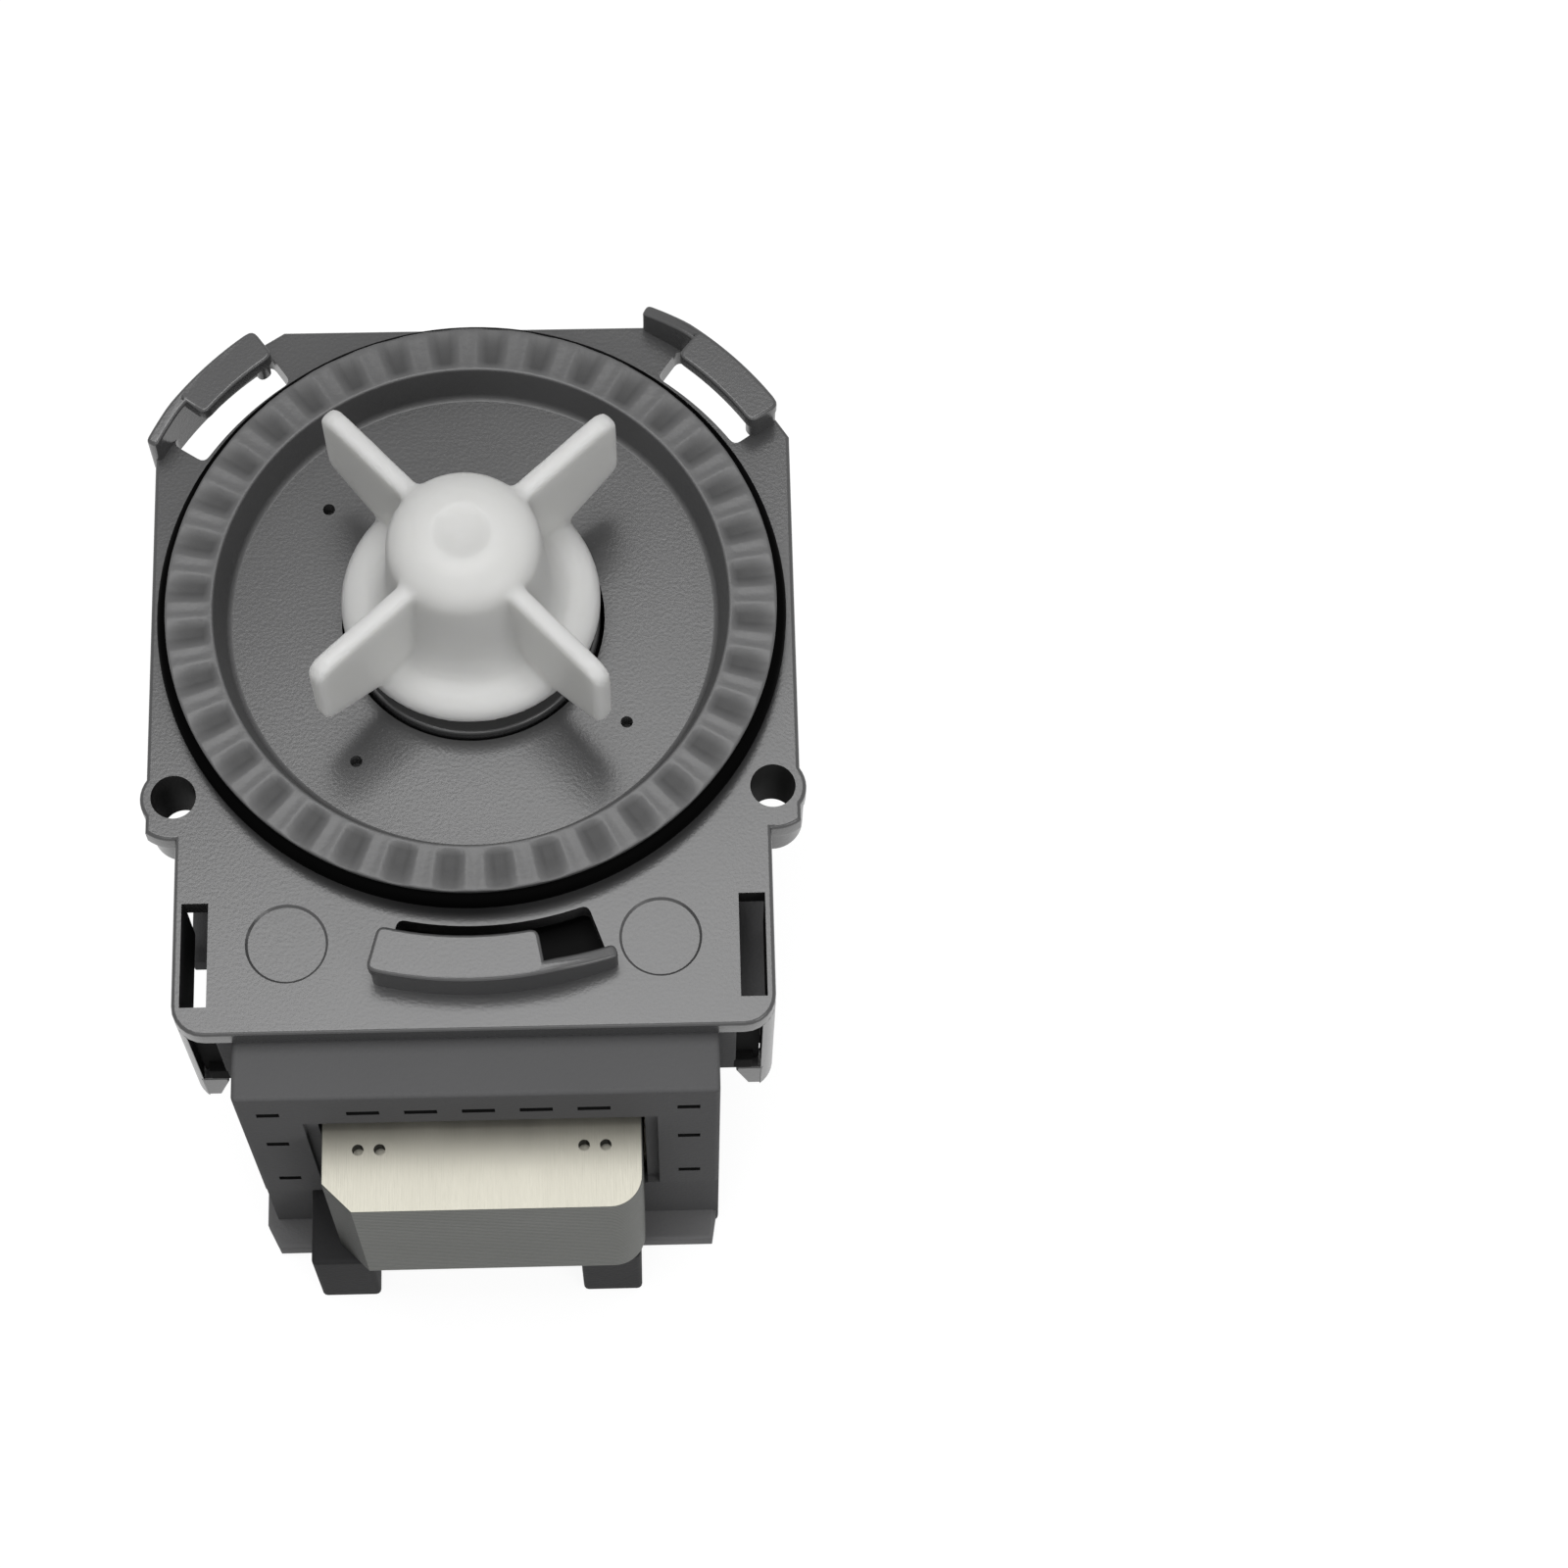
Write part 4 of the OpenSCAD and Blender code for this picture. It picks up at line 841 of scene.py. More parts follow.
def mirrored(bm):
    bmesh.ops.scale(bm, vec=(-1, 1, 1), verts=bm.verts)
    bmesh.ops.reverse_faces(bm, faces=bm.faces)
    return bm


def upright(bm):
    """A slab that was drawn lying down, with its outline's second axis turned up."""
    bmesh.ops.rotate(bm, cent=(0, 0, 0), matrix=Matrix.Rotation(pi / 2, 3, "X"), verts=bm.verts)
    return bm


def turned(bm, angle):
    """The shape turned round the rotor axis, in degrees."""
    bmesh.ops.rotate(bm, cent=(0, 0, 0), matrix=Matrix.Rotation(radians(angle), 3, "Z"), verts=bm.verts)
    return bm


# %% Snap arms with their skirts
def snap_arm():
    """The right arm: a strip that follows the rounded corner, its barb and its skirt."""
    corner = arc((FRONT_HALF - CORNER_R, PLATE_FRONT + CORNER_R), CORNER_R, -54, 0, 6)
    back_edge = [(FRONT_HALF, ARM_BACK + 0.4), (ARM_IN, ARM_BACK + 0.4), (ARM_IN, ARM_FRONT)]
    strip = extrude_outline(corner + back_edge, ARM_LOW, INTO_PLATE, low_edge=0.5)
    side = [(ARM_IN + 0.3, ARM_LOW + 0.2), (ARM_IN - BARB / 2, ARM_LOW + 0.2),
            (ARM_IN - BARB, ARM_LOW + BARB_H - 1), (ARM_IN - BARB, ARM_LOW + BARB_H),
            (ARM_IN + 0.3, ARM_LOW + BARB_H)]
    barb = upright(extrude_outline(side, 0, ARM_BACK - ARM_FRONT, THIN_EDGE, THIN_EDGE))
    bmesh.ops.translate(barb, vec=(0, ARM_BACK, 0), verts=barb.verts)
    skirt = box_mesh((SLOT_OUT, ARM_BACK, -PLATE_T - SKIRT_H), (FRONT_HALF, SLOT_BACK + 1, INTO_PLATE),
                     THIN_EDGE)
    return fuse([strip, barb, skirt])


def faces_the_slot(face, x, y, z):
    """True on the inner side of an arm or skirt, which is seen through the side slot and gets painted shade.
    """
    return face.normal.x * x < -FACING * abs(x) and abs(x) < SLOT_OUT + NEAR


# the faces seen through the side slot get the plate's painted shade
for arm_side, arm_bm in (("right", snap_arm()), ("left", mirrored(snap_arm()))):
    paint_shade_on_faces(plate_piece("snap_arm_" + arm_side, arm_bm), plate_painted_shade, faces_the_slot)

# %% [markdown]
# ## Hooks behind the core
# Two hooks come down behind the steel core and hold the stack of sheets from below. A box with one moved
# edge would do for the slope of the hook, but the side view says it better: it is drawn as an outline,
# extruded to the hook's width, and turned up into place.

# %% Hooks behind the core
HOOK_X, HOOK_W, HOOK_Y, HOOK_T, CORE_LOW = 11.65, 6.05, 17.2, 2.2, -43.7
HOOK_LIP, HOOK_TOE = 1.1, 3.4


def rear_hook():
    side = [(HOOK_Y, INTO_PLATE), (HOOK_Y, CORE_LOW), (HOOK_Y - HOOK_T, CORE_LOW),
            (HOOK_Y - HOOK_T, CORE_LOW - HOOK_LIP), (HOOK_Y, CORE_LOW - HOOK_TOE),
            (HOOK_Y + HOOK_T, CORE_LOW - HOOK_TOE), (HOOK_Y + HOOK_T, INTO_PLATE)]
    bm = turned(upright(extrude_outline(side, 0, HOOK_W, 0.3, 0.3)), 90)
    bmesh.ops.translate(bm, vec=(HOOK_X - HOOK_W / 2, 0, 0), verts=bm.verts)
    return bm


plate_piece("rear_hook_right", rear_hook())
plate_piece("rear_hook_left", mirrored(rear_hook()))

# %% [markdown]
# ## Stiffening rim and ribs
# A thin moulded plate bends, so walls run under its side and back edges, and three ribs join them to the
# can's collar. They could be left as separate boxes that overlap, but faces inside each other flicker
# black in a render. So the boxes are fused into one solid.

# %% Stiffening rim and ribs under the back half
RIM_H, RIM_T, RIM_SIDE_END, RIM_BACK_HALF = 5.0, 1.6, 17.4, 17.2
RIB_ANGLES, RIB_IN, RIB_OUT = (30, 90, 150), 15.3, 35
RIM_LOW = -PLATE_T - RIM_H
side_wall = box_mesh((PLATE_HALF - RIM_T, SCREW_Y + EAR_R + 1, RIM_LOW),
                     (PLATE_HALF, RIM_SIDE_END, INTO_PLATE), THIN_EDGE)
back_wall = box_mesh((-RIM_BACK_HALF, PLATE_BACK - RIM_T, RIM_LOW),
                     (RIM_BACK_HALF, PLATE_BACK, INTO_PLATE), THIN_EDGE)
other_wall = mirrored(side_wall.copy())
ribs = [turned(box_mesh((RIB_IN, -RIM_T / 2, RIM_LOW), (RIB_OUT, RIM_T / 2, INTO_PLATE), THIN_EDGE), angle)
        for angle in RIB_ANGLES]
plate_piece("stiffening_rim", fuse([side_wall, other_wall, back_wall] + ribs))

# %% [markdown]
# ## Bearing carrier
# Under the impeller a round plug closes the can and carries the front bush. Only its rim shows, as a grey
# ring inside a black gap, and a plain disc would look the same from above. It is drawn as its full half
# section all the same, because a model that is opened should show a plug that could work.

# %% Carrier
CARRIER_R, CARRIER_TOP, CARRIER_LOW = 14.15, 0.8, -9
NECK_R, SEAL_WALL_R, PLUG_R, CHANNEL_TOP = 11.57, 9.6, 5.4, -2.2
BUSH_HOLE_R, SHAFT_HOLE_R, SHAFT_MOUTH_R, BUSH_TOP = 3.63, 1.9, 2.6, -0.4
carrier_corners = [(SHAFT_MOUTH_R, CARRIER_TOP), (CARRIER_R, CARRIER_TOP), (CARRIER_R, SEAT_Z),
                   (NECK_R, SEAT_Z), (NECK_R, CARRIER_LOW), (SEAL_WALL_R, CARRIER_LOW),
                   (SEAL_WALL_R, CHANNEL_TOP), (PLUG_R, CHANNEL_TOP), (PLUG_R, CARRIER_LOW),
                   (BUSH_HOLE_R, CARRIER_LOW), (BUSH_HOLE_R, BUSH_TOP), (SHAFT_HOLE_R, BUSH_TOP)]
carrier_radii = [0.3, 0.4, 0.3, 0, 0.2, 0.2, 0.4, 0.4, 0.2, 0, 0, 0]
plate_piece("carrier_plug", lathe(rounded_profile(carrier_corners, carrier_radii), 128),
            ["front_bearing_carrier"])

# %% [markdown]
# ## Impeller
# Boss, flare and disc are one turned form, and four blades stand out of it. A Bevel modifier can't round
# the seam where a flat blade meets a bell-shaped boss. Real plastic flows into every such corner, so the
# solids are joined, remeshed in small even squares and relaxed, which rounds the edges and fills the
# corners at once.

# %% Impeller sizes
DISC_R, DISC_Z, DISC_RIM_T, DISC_RISE = 14.35, 4.4, 0.7, 2.4
SHOULDER_W, FILLET_W, FILLET_H = 3.0, 2.0, 4.4
HUB_R, HUB_LOW_R, HUB_TOP, DOME_W, DOME_H = 8.4, 9.0, 24.0, 5.0, 4.2
CHAMBER_R, CHAMBER_LOW, CHAMBER_TOP = 6.0, 6.2, 14.6
STOP_R, STOP_HALF_ANGLE, COVER_R, SHAFT_BORE, SHAFT_END = 4.15, 28, 7.03, 1.8, 19.5
HUB_DIMPLE = [(3.1, 0), (2.2, 0.25), (0, 0.35)]
print("impeller", round(HUB_TOP - DISC_Z, 1), "mm high")


# %% Impeller body, turned
def ellipse_quarter(cx, cz, rx, rz, start, steps):
    angles = [radians(start + 90 * i / steps) for i in range(steps + 1)]
    return [(cx + rx * cos(a), cz + rz * sin(a)) for a in angles]


rim_z = DISC_Z + DISC_RIM_T
top_z = rim_z + DISC_RISE
shoulder = ellipse_quarter(DISC_R - SHOULDER_W, rim_z, SHOULDER_W, DISC_RISE, 0, 10)
inner_fillet = ellipse_quarter(HUB_LOW_R + FILLET_W, top_z + FILLET_H, FILLET_W, FILLET_H, 180, 8)[::-1]
dome = ellipse_quarter(HUB_R - DOME_W, HUB_TOP - DOME_H, DOME_W, DOME_H, 0, 14)
dimple = [(radius, HUB_TOP - drop) for radius, drop in HUB_DIMPLE]
inside = [(0, SHAFT_END), (SHAFT_BORE, SHAFT_END), (SHAFT_BORE, CHAMBER_TOP), (CHAMBER_R, CHAMBER_TOP),
          (CHAMBER_R, CHAMBER_LOW), (COVER_R, CHAMBER_LOW), (COVER_R, DISC_Z), (DISC_R, DISC_Z)]
impeller_bm = lathe(inside + shoulder + inner_fillet + dome + dimple, 128)
drive_stop = sector(STOP_R, CHAMBER_R + 0.5, -STOP_HALF_ANGLE, STOP_HALF_ANGLE,
                    CHAMBER_LOW, CHAMBER_TOP + 0.3)
print("points in the turned body:", len(impeller_bm.verts))

# %% [markdown]
# ## Blades
# The four blades are flat and straight, because the motor may start either way round and the pump has to
# work both ways. A thin box would leave the outer corners square, and here they are round in the side
# view. So the blade is that side view, extruded to its thickness, stood up and turned to its place.

# %% Blades
BLADES, BLADE_R, BLADE_T, BLADE_TOP, BLADE_TIP_H, BLADE_ANGLE = 4, 21.9, 2.2, 21.5, 13.4, 43
BLADE_CORNER, BLADE_ROOT, BLADE_LOW = 2.2, HUB_R - 1.4, DISC_Z + 1.2


def blade(angle):
    low = BLADE_TOP - BLADE_TIP_H
    tip = BLADE_R - BLADE_CORNER
    side = ([(BLADE_ROOT, BLADE_LOW), (DISC_R - 1.2, BLADE_LOW)]
            + arc((tip, low + BLADE_CORNER), BLADE_CORNER, -60, 0, 5)
            + arc((tip, BLADE_TOP - BLADE_CORNER), BLADE_CORNER, 0, 90, 5)
            + [(BLADE_ROOT, BLADE_TOP)])
    return turned(upright(extrude_outline(side, -BLADE_T / 2, BLADE_T / 2, 0.5, 0.5)), angle)


blades = [blade(BLADE_ANGLE + 360 / BLADES * i) for i in range(BLADES)]
impeller_bm = combine(impeller_bm, blades + [drive_stop], "UNION")
print("points in the joined impeller:", len(impeller_bm.verts))

# %% Impeller, remeshed and relaxed
VOXEL, RELAX_ROUNDS = 0.32, 7


def relax_solid(bm, voxel, rounds):
    """The solid in small even squares, with its edges and inside corners softened."""
    bmesh.ops.recalc_face_normals(bm, faces=bm.faces)
    mesh = bpy.data.meshes.new("soft")
    bm.to_mesh(mesh)
    bm.free()
    solid = bpy.data.objects.new("soft", mesh)
    scene.collection.objects.link(solid)
    step = solid.modifiers.new("remesh", "REMESH")
    step.mode = "VOXEL"
    step.voxel_size = voxel
    soft = bmesh.new()
    soft.from_object(solid, bpy.context.evaluated_depsgraph_get())
    bpy.data.objects.remove(solid)
    bpy.data.meshes.remove(mesh)
    for _ in range(rounds):
        bmesh.ops.smooth_vert(soft, verts=soft.verts, factor=0.5,
                              use_axis_x=True, use_axis_y=True, use_axis_z=True)
    return soft


impeller_bm = relax_solid(impeller_bm, VOXEL, RELAX_ROUNDS)
finish_piece("impeller_wheel", impeller_bm, impeller_white, "impeller", ["impeller"], 80)

# %% [markdown]
# ## Core of stacked sheets
# The steel core leads the magnetism of the coils to the rotor. It is a stack of thin U-shaped sheets, so
# that no currents run round in the steel. Lines in a bump map could stand for the sheets, but from the
# side they are what makes it a laminated core. So one sheet is drawn once, with its edges broken as the
# punch leaves them, and an Array modifier stacks the copies. The gaps between the broken edges draw the
# fine lines.

# %% Sheet outline
SHEETS, DIMPLED = 42, 3
CORE_HALF, CORE_FRONT, CORE_BACK, YOKE_L, LEG_IN = 17.7, -63.6, 17.0, 13.0, 5.6
CHAMFER, YOKE_ROUND, CORE_Z, STACK_T = 3.3, 3.6, -43.5, 27.0
POLE_R, POLE_STEP, STEP_FROM, STEP_TO = 13.2, 0.8, 52, 30
sheet_t = STACK_T / SHEETS
pole_angle = degrees(atan2(sqrt(POLE_R ** 2 - LEG_IN ** 2), LEG_IN))


def pole(middle):
    """The round inside of one leg. Its step lets the rotor stop off centre, from where it can start."""
    return (arc((0, 0), POLE_R, middle + pole_angle, middle + STEP_FROM, 1)
            + arc((0, 0), POLE_R + POLE_STEP, middle + STEP_FROM, middle + STEP_TO, 6)
            + arc((0, 0), POLE_R, middle + STEP_TO, middle - pole_angle, 18))


yoke_corner = (CORE_HALF - YOKE_ROUND, CORE_FRONT + YOKE_ROUND)
sheet_outline = ([(-CORE_HALF, CORE_BACK), (-CORE_HALF, CORE_FRONT + CHAMFER)]
                 + [(-CORE_HALF + CHAMFER, CORE_FRONT)] + arc(yoke_corner, YOKE_ROUND, -90, 0, 10)
                 + [(CORE_HALF, CORE_BACK), (LEG_IN, CORE_BACK)] + pole(0)
                 + [(LEG_IN, CORE_FRONT + YOKE_L), (-LEG_IN, CORE_FRONT + YOKE_L)]
                 + pole(180) + [(-LEG_IN, CORE_BACK)])
sheet_bm = extrude_outline(sheet_outline, CORE_Z, CORE_Z + sheet_t, 0.07, 0.07, 1)
print("sheets", round(sheet_t, 3), "mm thick")


# %% Stack of sheets
FACES_UP, FACES_CORNER = 0.9, -0.4


def core_sheets(name, bm, count):
    """A stack of equal sheets: bright on top, matt on the cut edges, and a darker copy of the edge steel as
    painted shade on the cut corner.
    """
    piece = finish_piece(name, bm, core_steel, "stator", ["stator_core"], 30)
    piece.data.materials.append(core_edge)
    piece.data.materials.append(corner_steel_painted_shade)
    for face in piece.data.polygons:
        if face.normal.z > FACES_UP:
            face.material_index = 0
        elif face.normal.x < FACES_CORNER and face.normal.y < FACES_CORNER:
            face.material_index = 2
        else:
            face.material_index = 1
    stack = piece.modifiers.new("stack", "ARRAY")
    stack.count = count
    stack.use_relative_offset = False
    stack.use_constant_offset = True
    stack.constant_offset_displace = (0, 0, sheet_t * MM)


# %% [markdown]
# ## Dimples that lock the sheets
# The press knocks small dimples through the stack, and they lock the sheets together. Black dots on the
# top sheet would pass from afar, but a real dimple has a lit wall. The holes go through the three sheets
# on top, so these are a stack of their own, laid on the plain one.

# %% Dimpled sheets and plain sheets
DIMPLE_X, DIMPLE_GAP, DIMPLE_Y, DIMPLE_R = 12.5, 1.2, 7.1, 0.65
dimples = [rod(side * DIMPLE_X + step, CORE_FRONT + DIMPLE_Y, DIMPLE_R, CORE_Z - 1, CORE_Z + 1, 20)
           for side in (-1, 1) for step in (-DIMPLE_GAP, DIMPLE_GAP)]
top_bm = combine(sheet_bm.copy(), dimples)
bmesh.ops.translate(top_bm, vec=(0, 0, STACK_T - DIMPLED * sheet_t), verts=top_bm.verts)
core_sheets("core_top_sheets", top_bm, DIMPLED)
core_sheets("core_sheets", sheet_bm, SHEETS - DIMPLED)

# %% [markdown]
# ## Motor housing
# The housing is a dark box, open at the back, that slides over the coils and keeps fingers and water off
# them. The yoke leaves it through an opening in a sunk panel, small slots let heat out, and a socket in
# its floor takes the plug. It could be folded from panels with Solidify, but its walls have other depths
# at each step. So a rounded block is hollowed, and every step, panel and slot is cut into it at its real
# depth.

# %% Housing sizes
HOUSE_HALF, HOUSE_FRONT, HOUSE_BACK, HOUSE_TOP, HOUSE_LOW, WALL = 26.4, -54.4, -19.5, -3.4, -60.0, 2.0
STEP_Z, STEP_IN, BASE_TOP = -41.1, 0.7, -57.2
OPENING_HALF, OPENING_TOP, OPENING_LOW, PANEL, PANEL_IN = 18.1, -15.7, -43.9, 1.4, 0.9
SOCKET_HALF, SOCKET_FRONT, SOCKET_BACK, SOCKET_TOP, SOCKET_WALL = 13.0, -51.1, -41.1, -51.0, 1.5
POCKET_LEFT, POCKET_RIGHT, POCKET_FRONT, POCKET_BACK = -14, 16, -46, -34
HOUSE_EDGE, BEYOND, FAR_SIDE = 0.6, 5, 40
print("housing", 2 * HOUSE_HALF, "mm wide")

# %% Small slots: two columns at the sides and a row over the opening
VENT_X, VENT_W, VENT_H, VENT_IN, VENT_DROPS = 22.95, 2.5, 1.3, 1.2, (5.9, 17.5, 32.1)
ROW_VENTS, ROW_PITCH, ROW_Z, ROW_HALF = 5, 6.3, -9.1, 1.8
vents = [(side * VENT_X, HOUSE_TOP - drop, VENT_W / 2) for drop in VENT_DROPS for side in (-1, 1)]
vents += [((i - 2) * ROW_PITCH, ROW_Z, ROW_HALF) for i in range(ROW_VENTS)]
print("small slots:", len(vents))


# %% What is cut out of the housing
def front_cut(left, right, low, high, depth):
    """A box from beyond the front wall to the given depth in it."""
    return box_mesh((left, HOUSE_FRONT - BEYOND, low), (right, HOUSE_FRONT + depth, high))


hollow = box_mesh((-HOUSE_HALF + WALL, HOUSE_FRONT + WALL, BASE_TOP),
                  (HOUSE_HALF - WALL, HOUSE_BACK + BEYOND, HOUSE_TOP - WALL), 0.4)
lower_step = front_cut(-FAR_SIDE, FAR_SIDE, BASE_TOP - 0.4, STEP_Z, STEP_IN)
sunk_panel = front_cut(-OPENING_HALF - PANEL, OPENING_HALF + PANEL, STEP_Z + 0.15, OPENING_TOP + 2 * PANEL,
                       PANEL_IN)
yoke_opening = front_cut(-OPENING_HALF, OPENING_HALF, OPENING_LOW, OPENING_TOP, WALL + 1)
top_pocket = box_mesh((POCKET_LEFT, POCKET_FRONT, HOUSE_TOP - WALL + 0.3),
                      (POCKET_RIGHT, POCKET_BACK, HOUSE_TOP + 1))
vent_cuts = [front_cut(x - half, x + half, z - VENT_H / 2, z + VENT_H / 2, VENT_IN) for x, z, half in vents]
house_cutters = [hollow, lower_step, sunk_panel, yoke_opening, top_pocket] + vent_cuts
print("cutters for the housing:", len(house_cutters))

# %% Socket for the plug
socket_block = box_mesh((-SOCKET_HALF - SOCKET_WALL, SOCKET_FRONT - SOCKET_WALL, HOUSE_LOW + 0.3),
                        (SOCKET_HALF + SOCKET_WALL, SOCKET_BACK + SOCKET_WALL, SOCKET_TOP))
socket_hole = box_mesh((-SOCKET_HALF, SOCKET_FRONT, HOUSE_LOW - 1),
                       (SOCKET_HALF, SOCKET_BACK, SOCKET_TOP + 1))
print("socket", 2 * SOCKET_HALF, "by", round(SOCKET_BACK - SOCKET_FRONT, 1), "mm")

# %% Housing shell
shell = box_mesh((-HOUSE_HALF, HOUSE_FRONT, HOUSE_LOW), (HOUSE_HALF, HOUSE_BACK, HOUSE_TOP), HOUSE_EDGE, 3)
shell = combine(shell, house_cutters)
shell = combine(combine(shell, [socket_block], "UNION"), [socket_hole])
housing = housing_piece("housing_shell", shell, ["coil_housing"])


# %% Painted shade in the pocket and the small slots
def in_housing_cut(face, x, y, z):
    """True in the pocket under the front claw's slot, and in the small slots."""
    in_pocket = (POCKET_LEFT - NEAR < x < POCKET_RIGHT + NEAR
                 and POCKET_FRONT - NEAR < y < POCKET_BACK + NEAR
                 and HOUSE_TOP - WALL < z < HOUSE_TOP - 0.05)
    in_vent = (any(abs(x - vx) < half + 0.05 and abs(z - vz) < VENT_H for vx, vz, half in vents)
               and HOUSE_FRONT + 0.05 < y < HOUSE_FRONT + VENT_IN + 0.05)
    return in_pocket or in_vent


paint_shade_on_faces(housing, housing_painted_shade, in_housing_cut)

# %% [markdown]
# ## Base flange and feet
# The housing stands on a flange that sticks out in front, with a raised rail at its left end, and on two
# feet under the yoke. They could be cut from the same block as the shell, but the flange faces the light and
# the feet stand in the yoke's shadow. So each is a piece with its own copy of the housing plastic: a lighter
# one on the flange as painted light, and a darker one on the feet as painted shadow.

# %% Base flange
BASE_REACH, BASE_LEFT, BASE_CUT, RAIL_L = 2.9, -27.7, 3.0, 10.0
base_edge = HOUSE_FRONT - BASE_REACH
base_outline = [(HOUSE_HALF, HOUSE_FRONT + 2), (-HOUSE_HALF + 1, HOUSE_FRONT + 2),
                (-HOUSE_HALF + 1, HOUSE_FRONT + RAIL_L), (BASE_LEFT, HOUSE_FRONT + RAIL_L),
                (BASE_LEFT, base_edge + BASE_CUT), (BASE_LEFT + BASE_CUT / 2, base_edge),
                (HOUSE_HALF - 0.8, base_edge)]
# painted light: the flange gets the lighter copy of the housing plastic
finish_piece("base_flange", extrude_outline(base_outline, HOUSE_LOW, BASE_TOP, 0.5, 0.3), housing_base_painted_light,
             "stator")

# %% Feet
FOOT_W, FOOT_FRONT, FOOT_TOP = 7, -62.6, -43.7
FEET = {"left": -21.2, "right": 10.1}
# painted shadow: the feet get the darker copy of the housing plastic
for side, low_x in FEET.items():
    foot_bm = box_mesh((low_x, FOOT_FRONT, HOUSE_LOW), (low_x + FOOT_W, HOUSE_FRONT + 2, FOOT_TOP),
                       HOUSE_EDGE, 3)
    finish_piece("foot_" + side, foot_bm, feet_painted_shadow_plastic, "stator")

# %% [markdown]
# ## Side lugs
# The barbs of the snap arms hold the housing by a lug on each side: a shelf with a web above it. Between the
# arms and the housing the pump shows only black shade, where a plain lug would leave a white gap. So a thin
# web reaches almost to the arm in painted shade: a near-black sheet put where there is only shade. The
# overlapping blocks are fused, as the rim was.

# %% Side lugs
LUG_LOW, LUG_HIGH, LUG_L = -18.8, -15.8, 20
LUG_OUT, WEB_OUT, SHELF_OUT, SHORT_SHELF_FRONT = 30.2, 28.3, 32.4, -34.5


def lug(long_shelf):
    """The right lug. A long shelf starts at the arm, and a short one further back."""
    inner = HOUSE_HALF - 0.5
    shelf_front = ARM_BACK + 0.4 if long_shelf else SHORT_SHELF_FRONT
    bar = box_mesh((inner, ARM_FRONT, LUG_LOW), (LUG_OUT, ARM_FRONT + LUG_L, LUG_HIGH), THIN_EDGE)
    web = box_mesh((inner, ARM_FRONT, LUG_LOW), (WEB_OUT, ARM_BACK, HOUSE_TOP), THIN_EDGE)
    painted_shade_web = box_mesh((inner, ARM_FRONT + 1.2, LUG_LOW + 0.1),
                        (ARM_IN - 0.2, ARM_BACK - 0.1, HOUSE_TOP - 0.1))
    shelf = box_mesh((HOUSE_HALF - 0.4, shelf_front, LUG_LOW - 0.05),
                     (SHELF_OUT, ARM_FRONT + LUG_L + 0.1, LUG_HIGH + 0.05), THIN_EDGE)
    return fuse([bar, web, painted_shade_web, shelf])


# True on the faces that get painted shade: the web beyond the plain lug, towards the front.
def on_painted_shade_web(face, x, y, z):
    return abs(x) > WEB_OUT + 0.05 and y < ARM_BACK + 0.2


for lug_side, lug_bm in (("right", lug(True)), ("left", mirrored(lug(False)))):
    paint_shade_on_faces(housing_piece("side_lug_" + lug_side, lug_bm), housing_painted_shade, on_painted_shade_web)

# %% [markdown]
# ## Windings
# Each coil is thousands of turns of red enamelled wire in even layers, and the outer layer lies open
# behind the core. A real helix of wire would be true, but heavy to store and to render. From outside only
# the row of round turns shows, so one turn is drawn as a flat loop with a round edge, and an Array
# modifier lays the turns side by side.

# %% Winding sizes
LEG_MID, COIL_HALF_X, COIL_HALF_Z, COIL_FRONT, COIL_BACK, TURNS = 11.65, 11.15, 18.6, -49.07, -22.53, 44
WINDOW_X, WINDOW_Z, COIL_CORNER, WINDOW_CORNER = 7.28, 14.73, 3.0, 0.5
turn_pitch = (COIL_BACK - COIL_FRONT) / TURNS
turn_edge = turn_pitch * 0.42
print("turns", round(turn_pitch, 3), "mm apart")


# %% Windings
def rounded_rectangle(half_x, half_y, radius):
    points = []
    for sx, sy, start in ((1, 1, 0), (-1, 1, 90), (-1, -1, 180), (1, -1, 270)):
        points += arc((sx * (half_x - radius), sy * (half_y - radius)), radius, start, start + 90, 5)
    return points


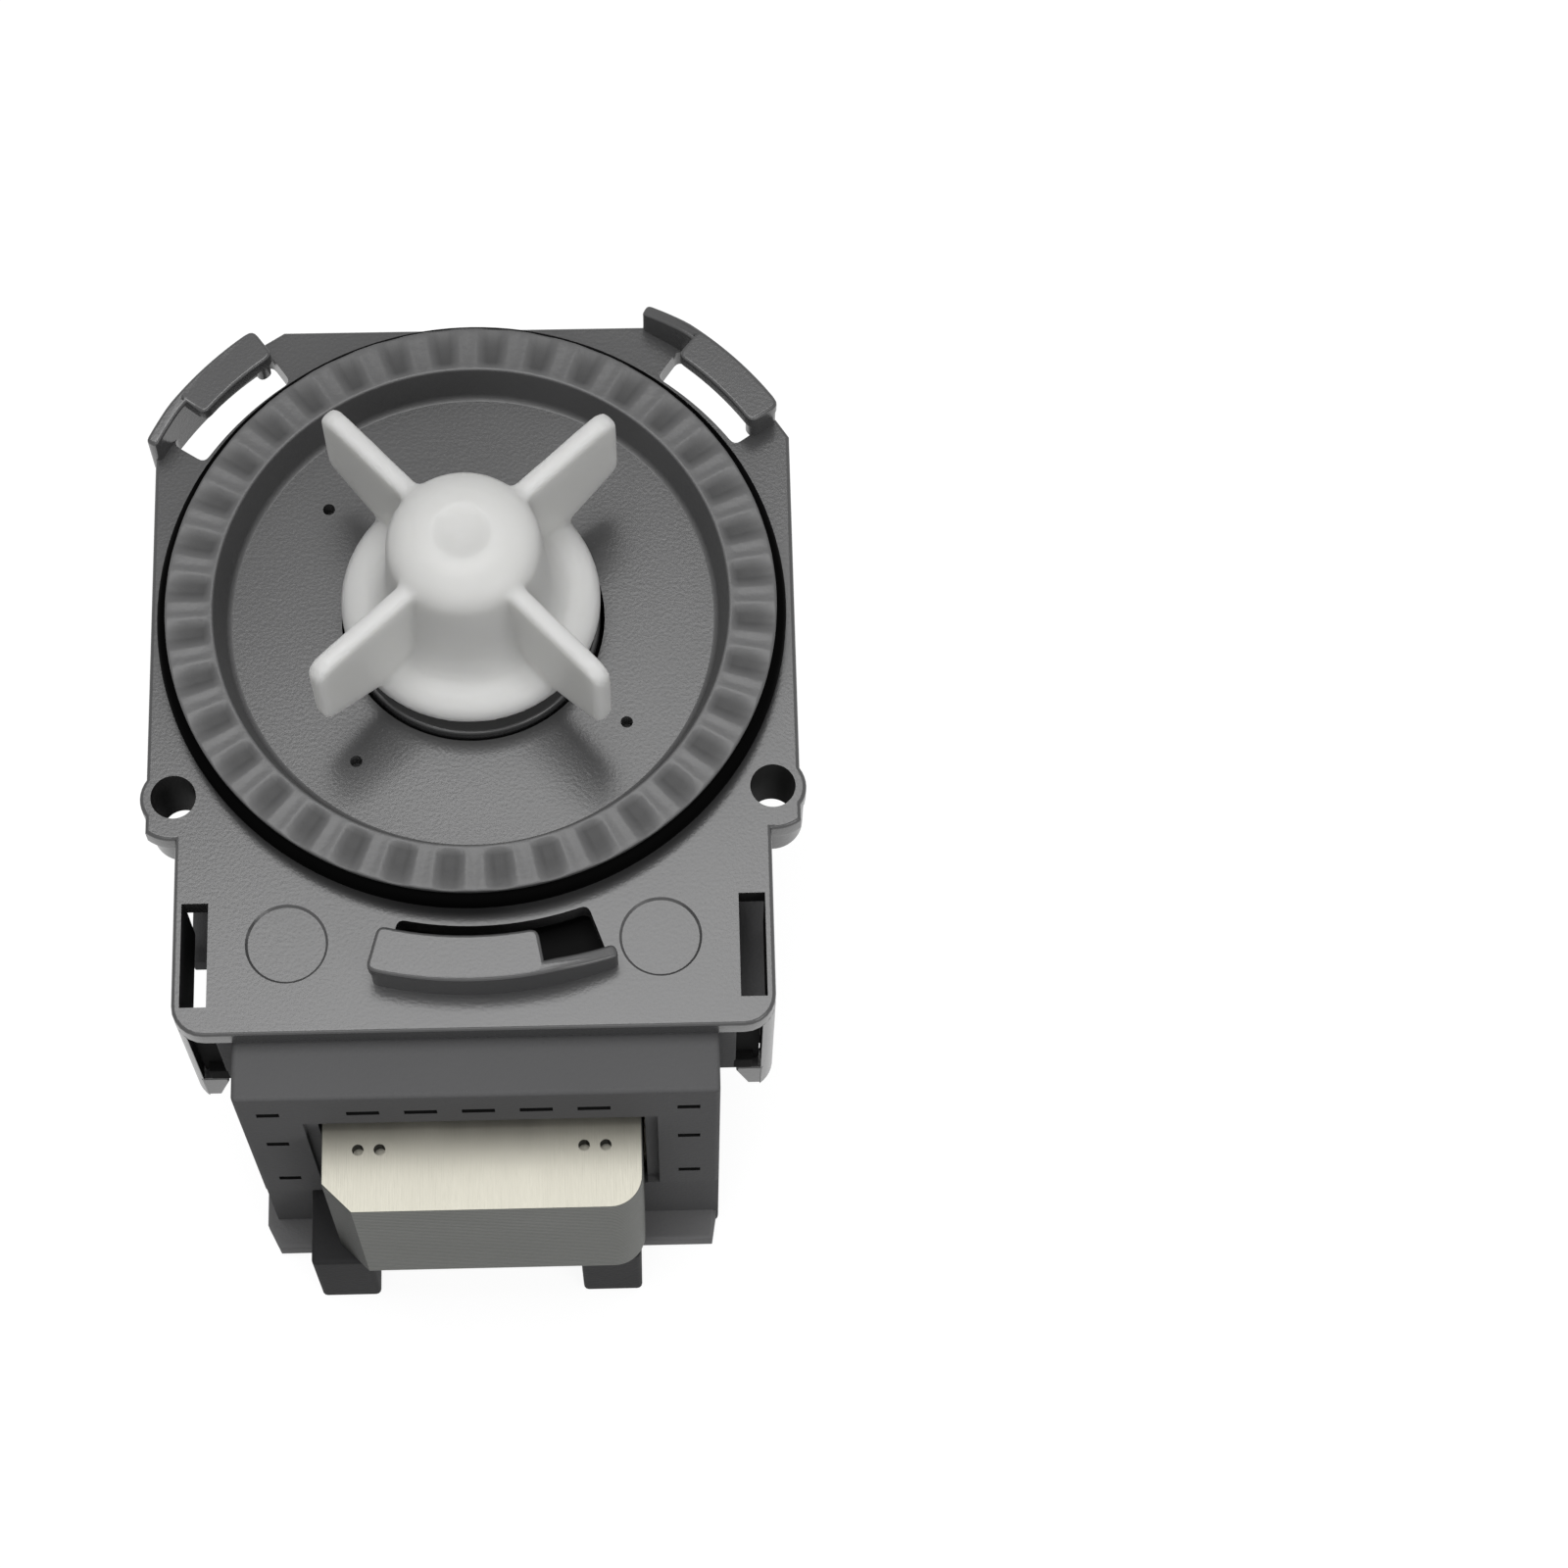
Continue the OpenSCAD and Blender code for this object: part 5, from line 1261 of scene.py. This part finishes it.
def winding(name, node, centre_x):
    loop = extrude_outline(rounded_rectangle(COIL_HALF_X, COIL_HALF_Z, COIL_CORNER), 0, turn_pitch,
                           turn_edge, turn_edge, 2)
    hole = extrude_outline(rounded_rectangle(WINDOW_X, WINDOW_Z, WINDOW_CORNER), -1, turn_pitch + 1)
    bm = combine(loop, [hole])
    bmesh.ops.rotate(bm, cent=(0, 0, 0), matrix=Matrix.Rotation(-pi / 2, 3, "X"), verts=bm.verts)
    bmesh.ops.translate(bm, vec=(centre_x, COIL_FRONT, CORE_Z + STACK_T / 2), verts=bm.verts)
    piece = finish_piece(name, bm, winding_red, "stator", [node], 60)
    turns = piece.modifiers.new("turns", "ARRAY")
    turns.count = TURNS
    turns.use_relative_offset = False
    turns.use_constant_offset = True
    turns.constant_offset_displace = (0, turn_pitch * MM, 0)


winding("winding_left", "coil_left", -LEG_MID)
winding("winding_right", "coil_right", LEG_MID)

# %% [markdown]
# ## Connector tabs
# Two tabs of tinned brass in the socket take the plug. They are punched from strip: the tip is tapered so
# that it finds the plug, the edges are broken, and a hole catches the plug's spring. A scaled cube would
# have the size right and nothing else, so the tab is its outline with the hole cut out.

# %% Connector tabs
TAB_X, TAB_Y, TAB_HALF, TAB_T, TAB_LOW, TAB_HIGH = 7.0, -46.1, 3.15, 0.8, -59.0, -49.5
TAPER_W, TAPER_H, TAB_EDGE, TAB_HOLE_UP, TAB_HOLE_R = 1.0, 1.2, 0.15, 4, 0.85


def tab(name, node, centre_x):
    blank = [(-TAB_HALF, TAB_HIGH), (-TAB_HALF, TAB_LOW + TAPER_H), (-TAB_HALF + TAPER_W, TAB_LOW),
             (TAB_HALF - TAPER_W, TAB_LOW), (TAB_HALF, TAB_LOW + TAPER_H), (TAB_HALF, TAB_HIGH)]
    slab = extrude_outline(blank, -TAB_T / 2, TAB_T / 2, TAB_EDGE, TAB_EDGE, 2)
    bm = upright(combine(slab, [rod(0, TAB_LOW + TAB_HOLE_UP, TAB_HOLE_R, -1, 1, 32)]))
    bmesh.ops.translate(bm, vec=(centre_x, TAB_Y, 0), verts=bm.verts)
    finish_piece(name, bm, tab_tinned, "stator", [node])


tab("tab_left", "terminal_left", -TAB_X)
tab("tab_right", "terminal_right", TAB_X)
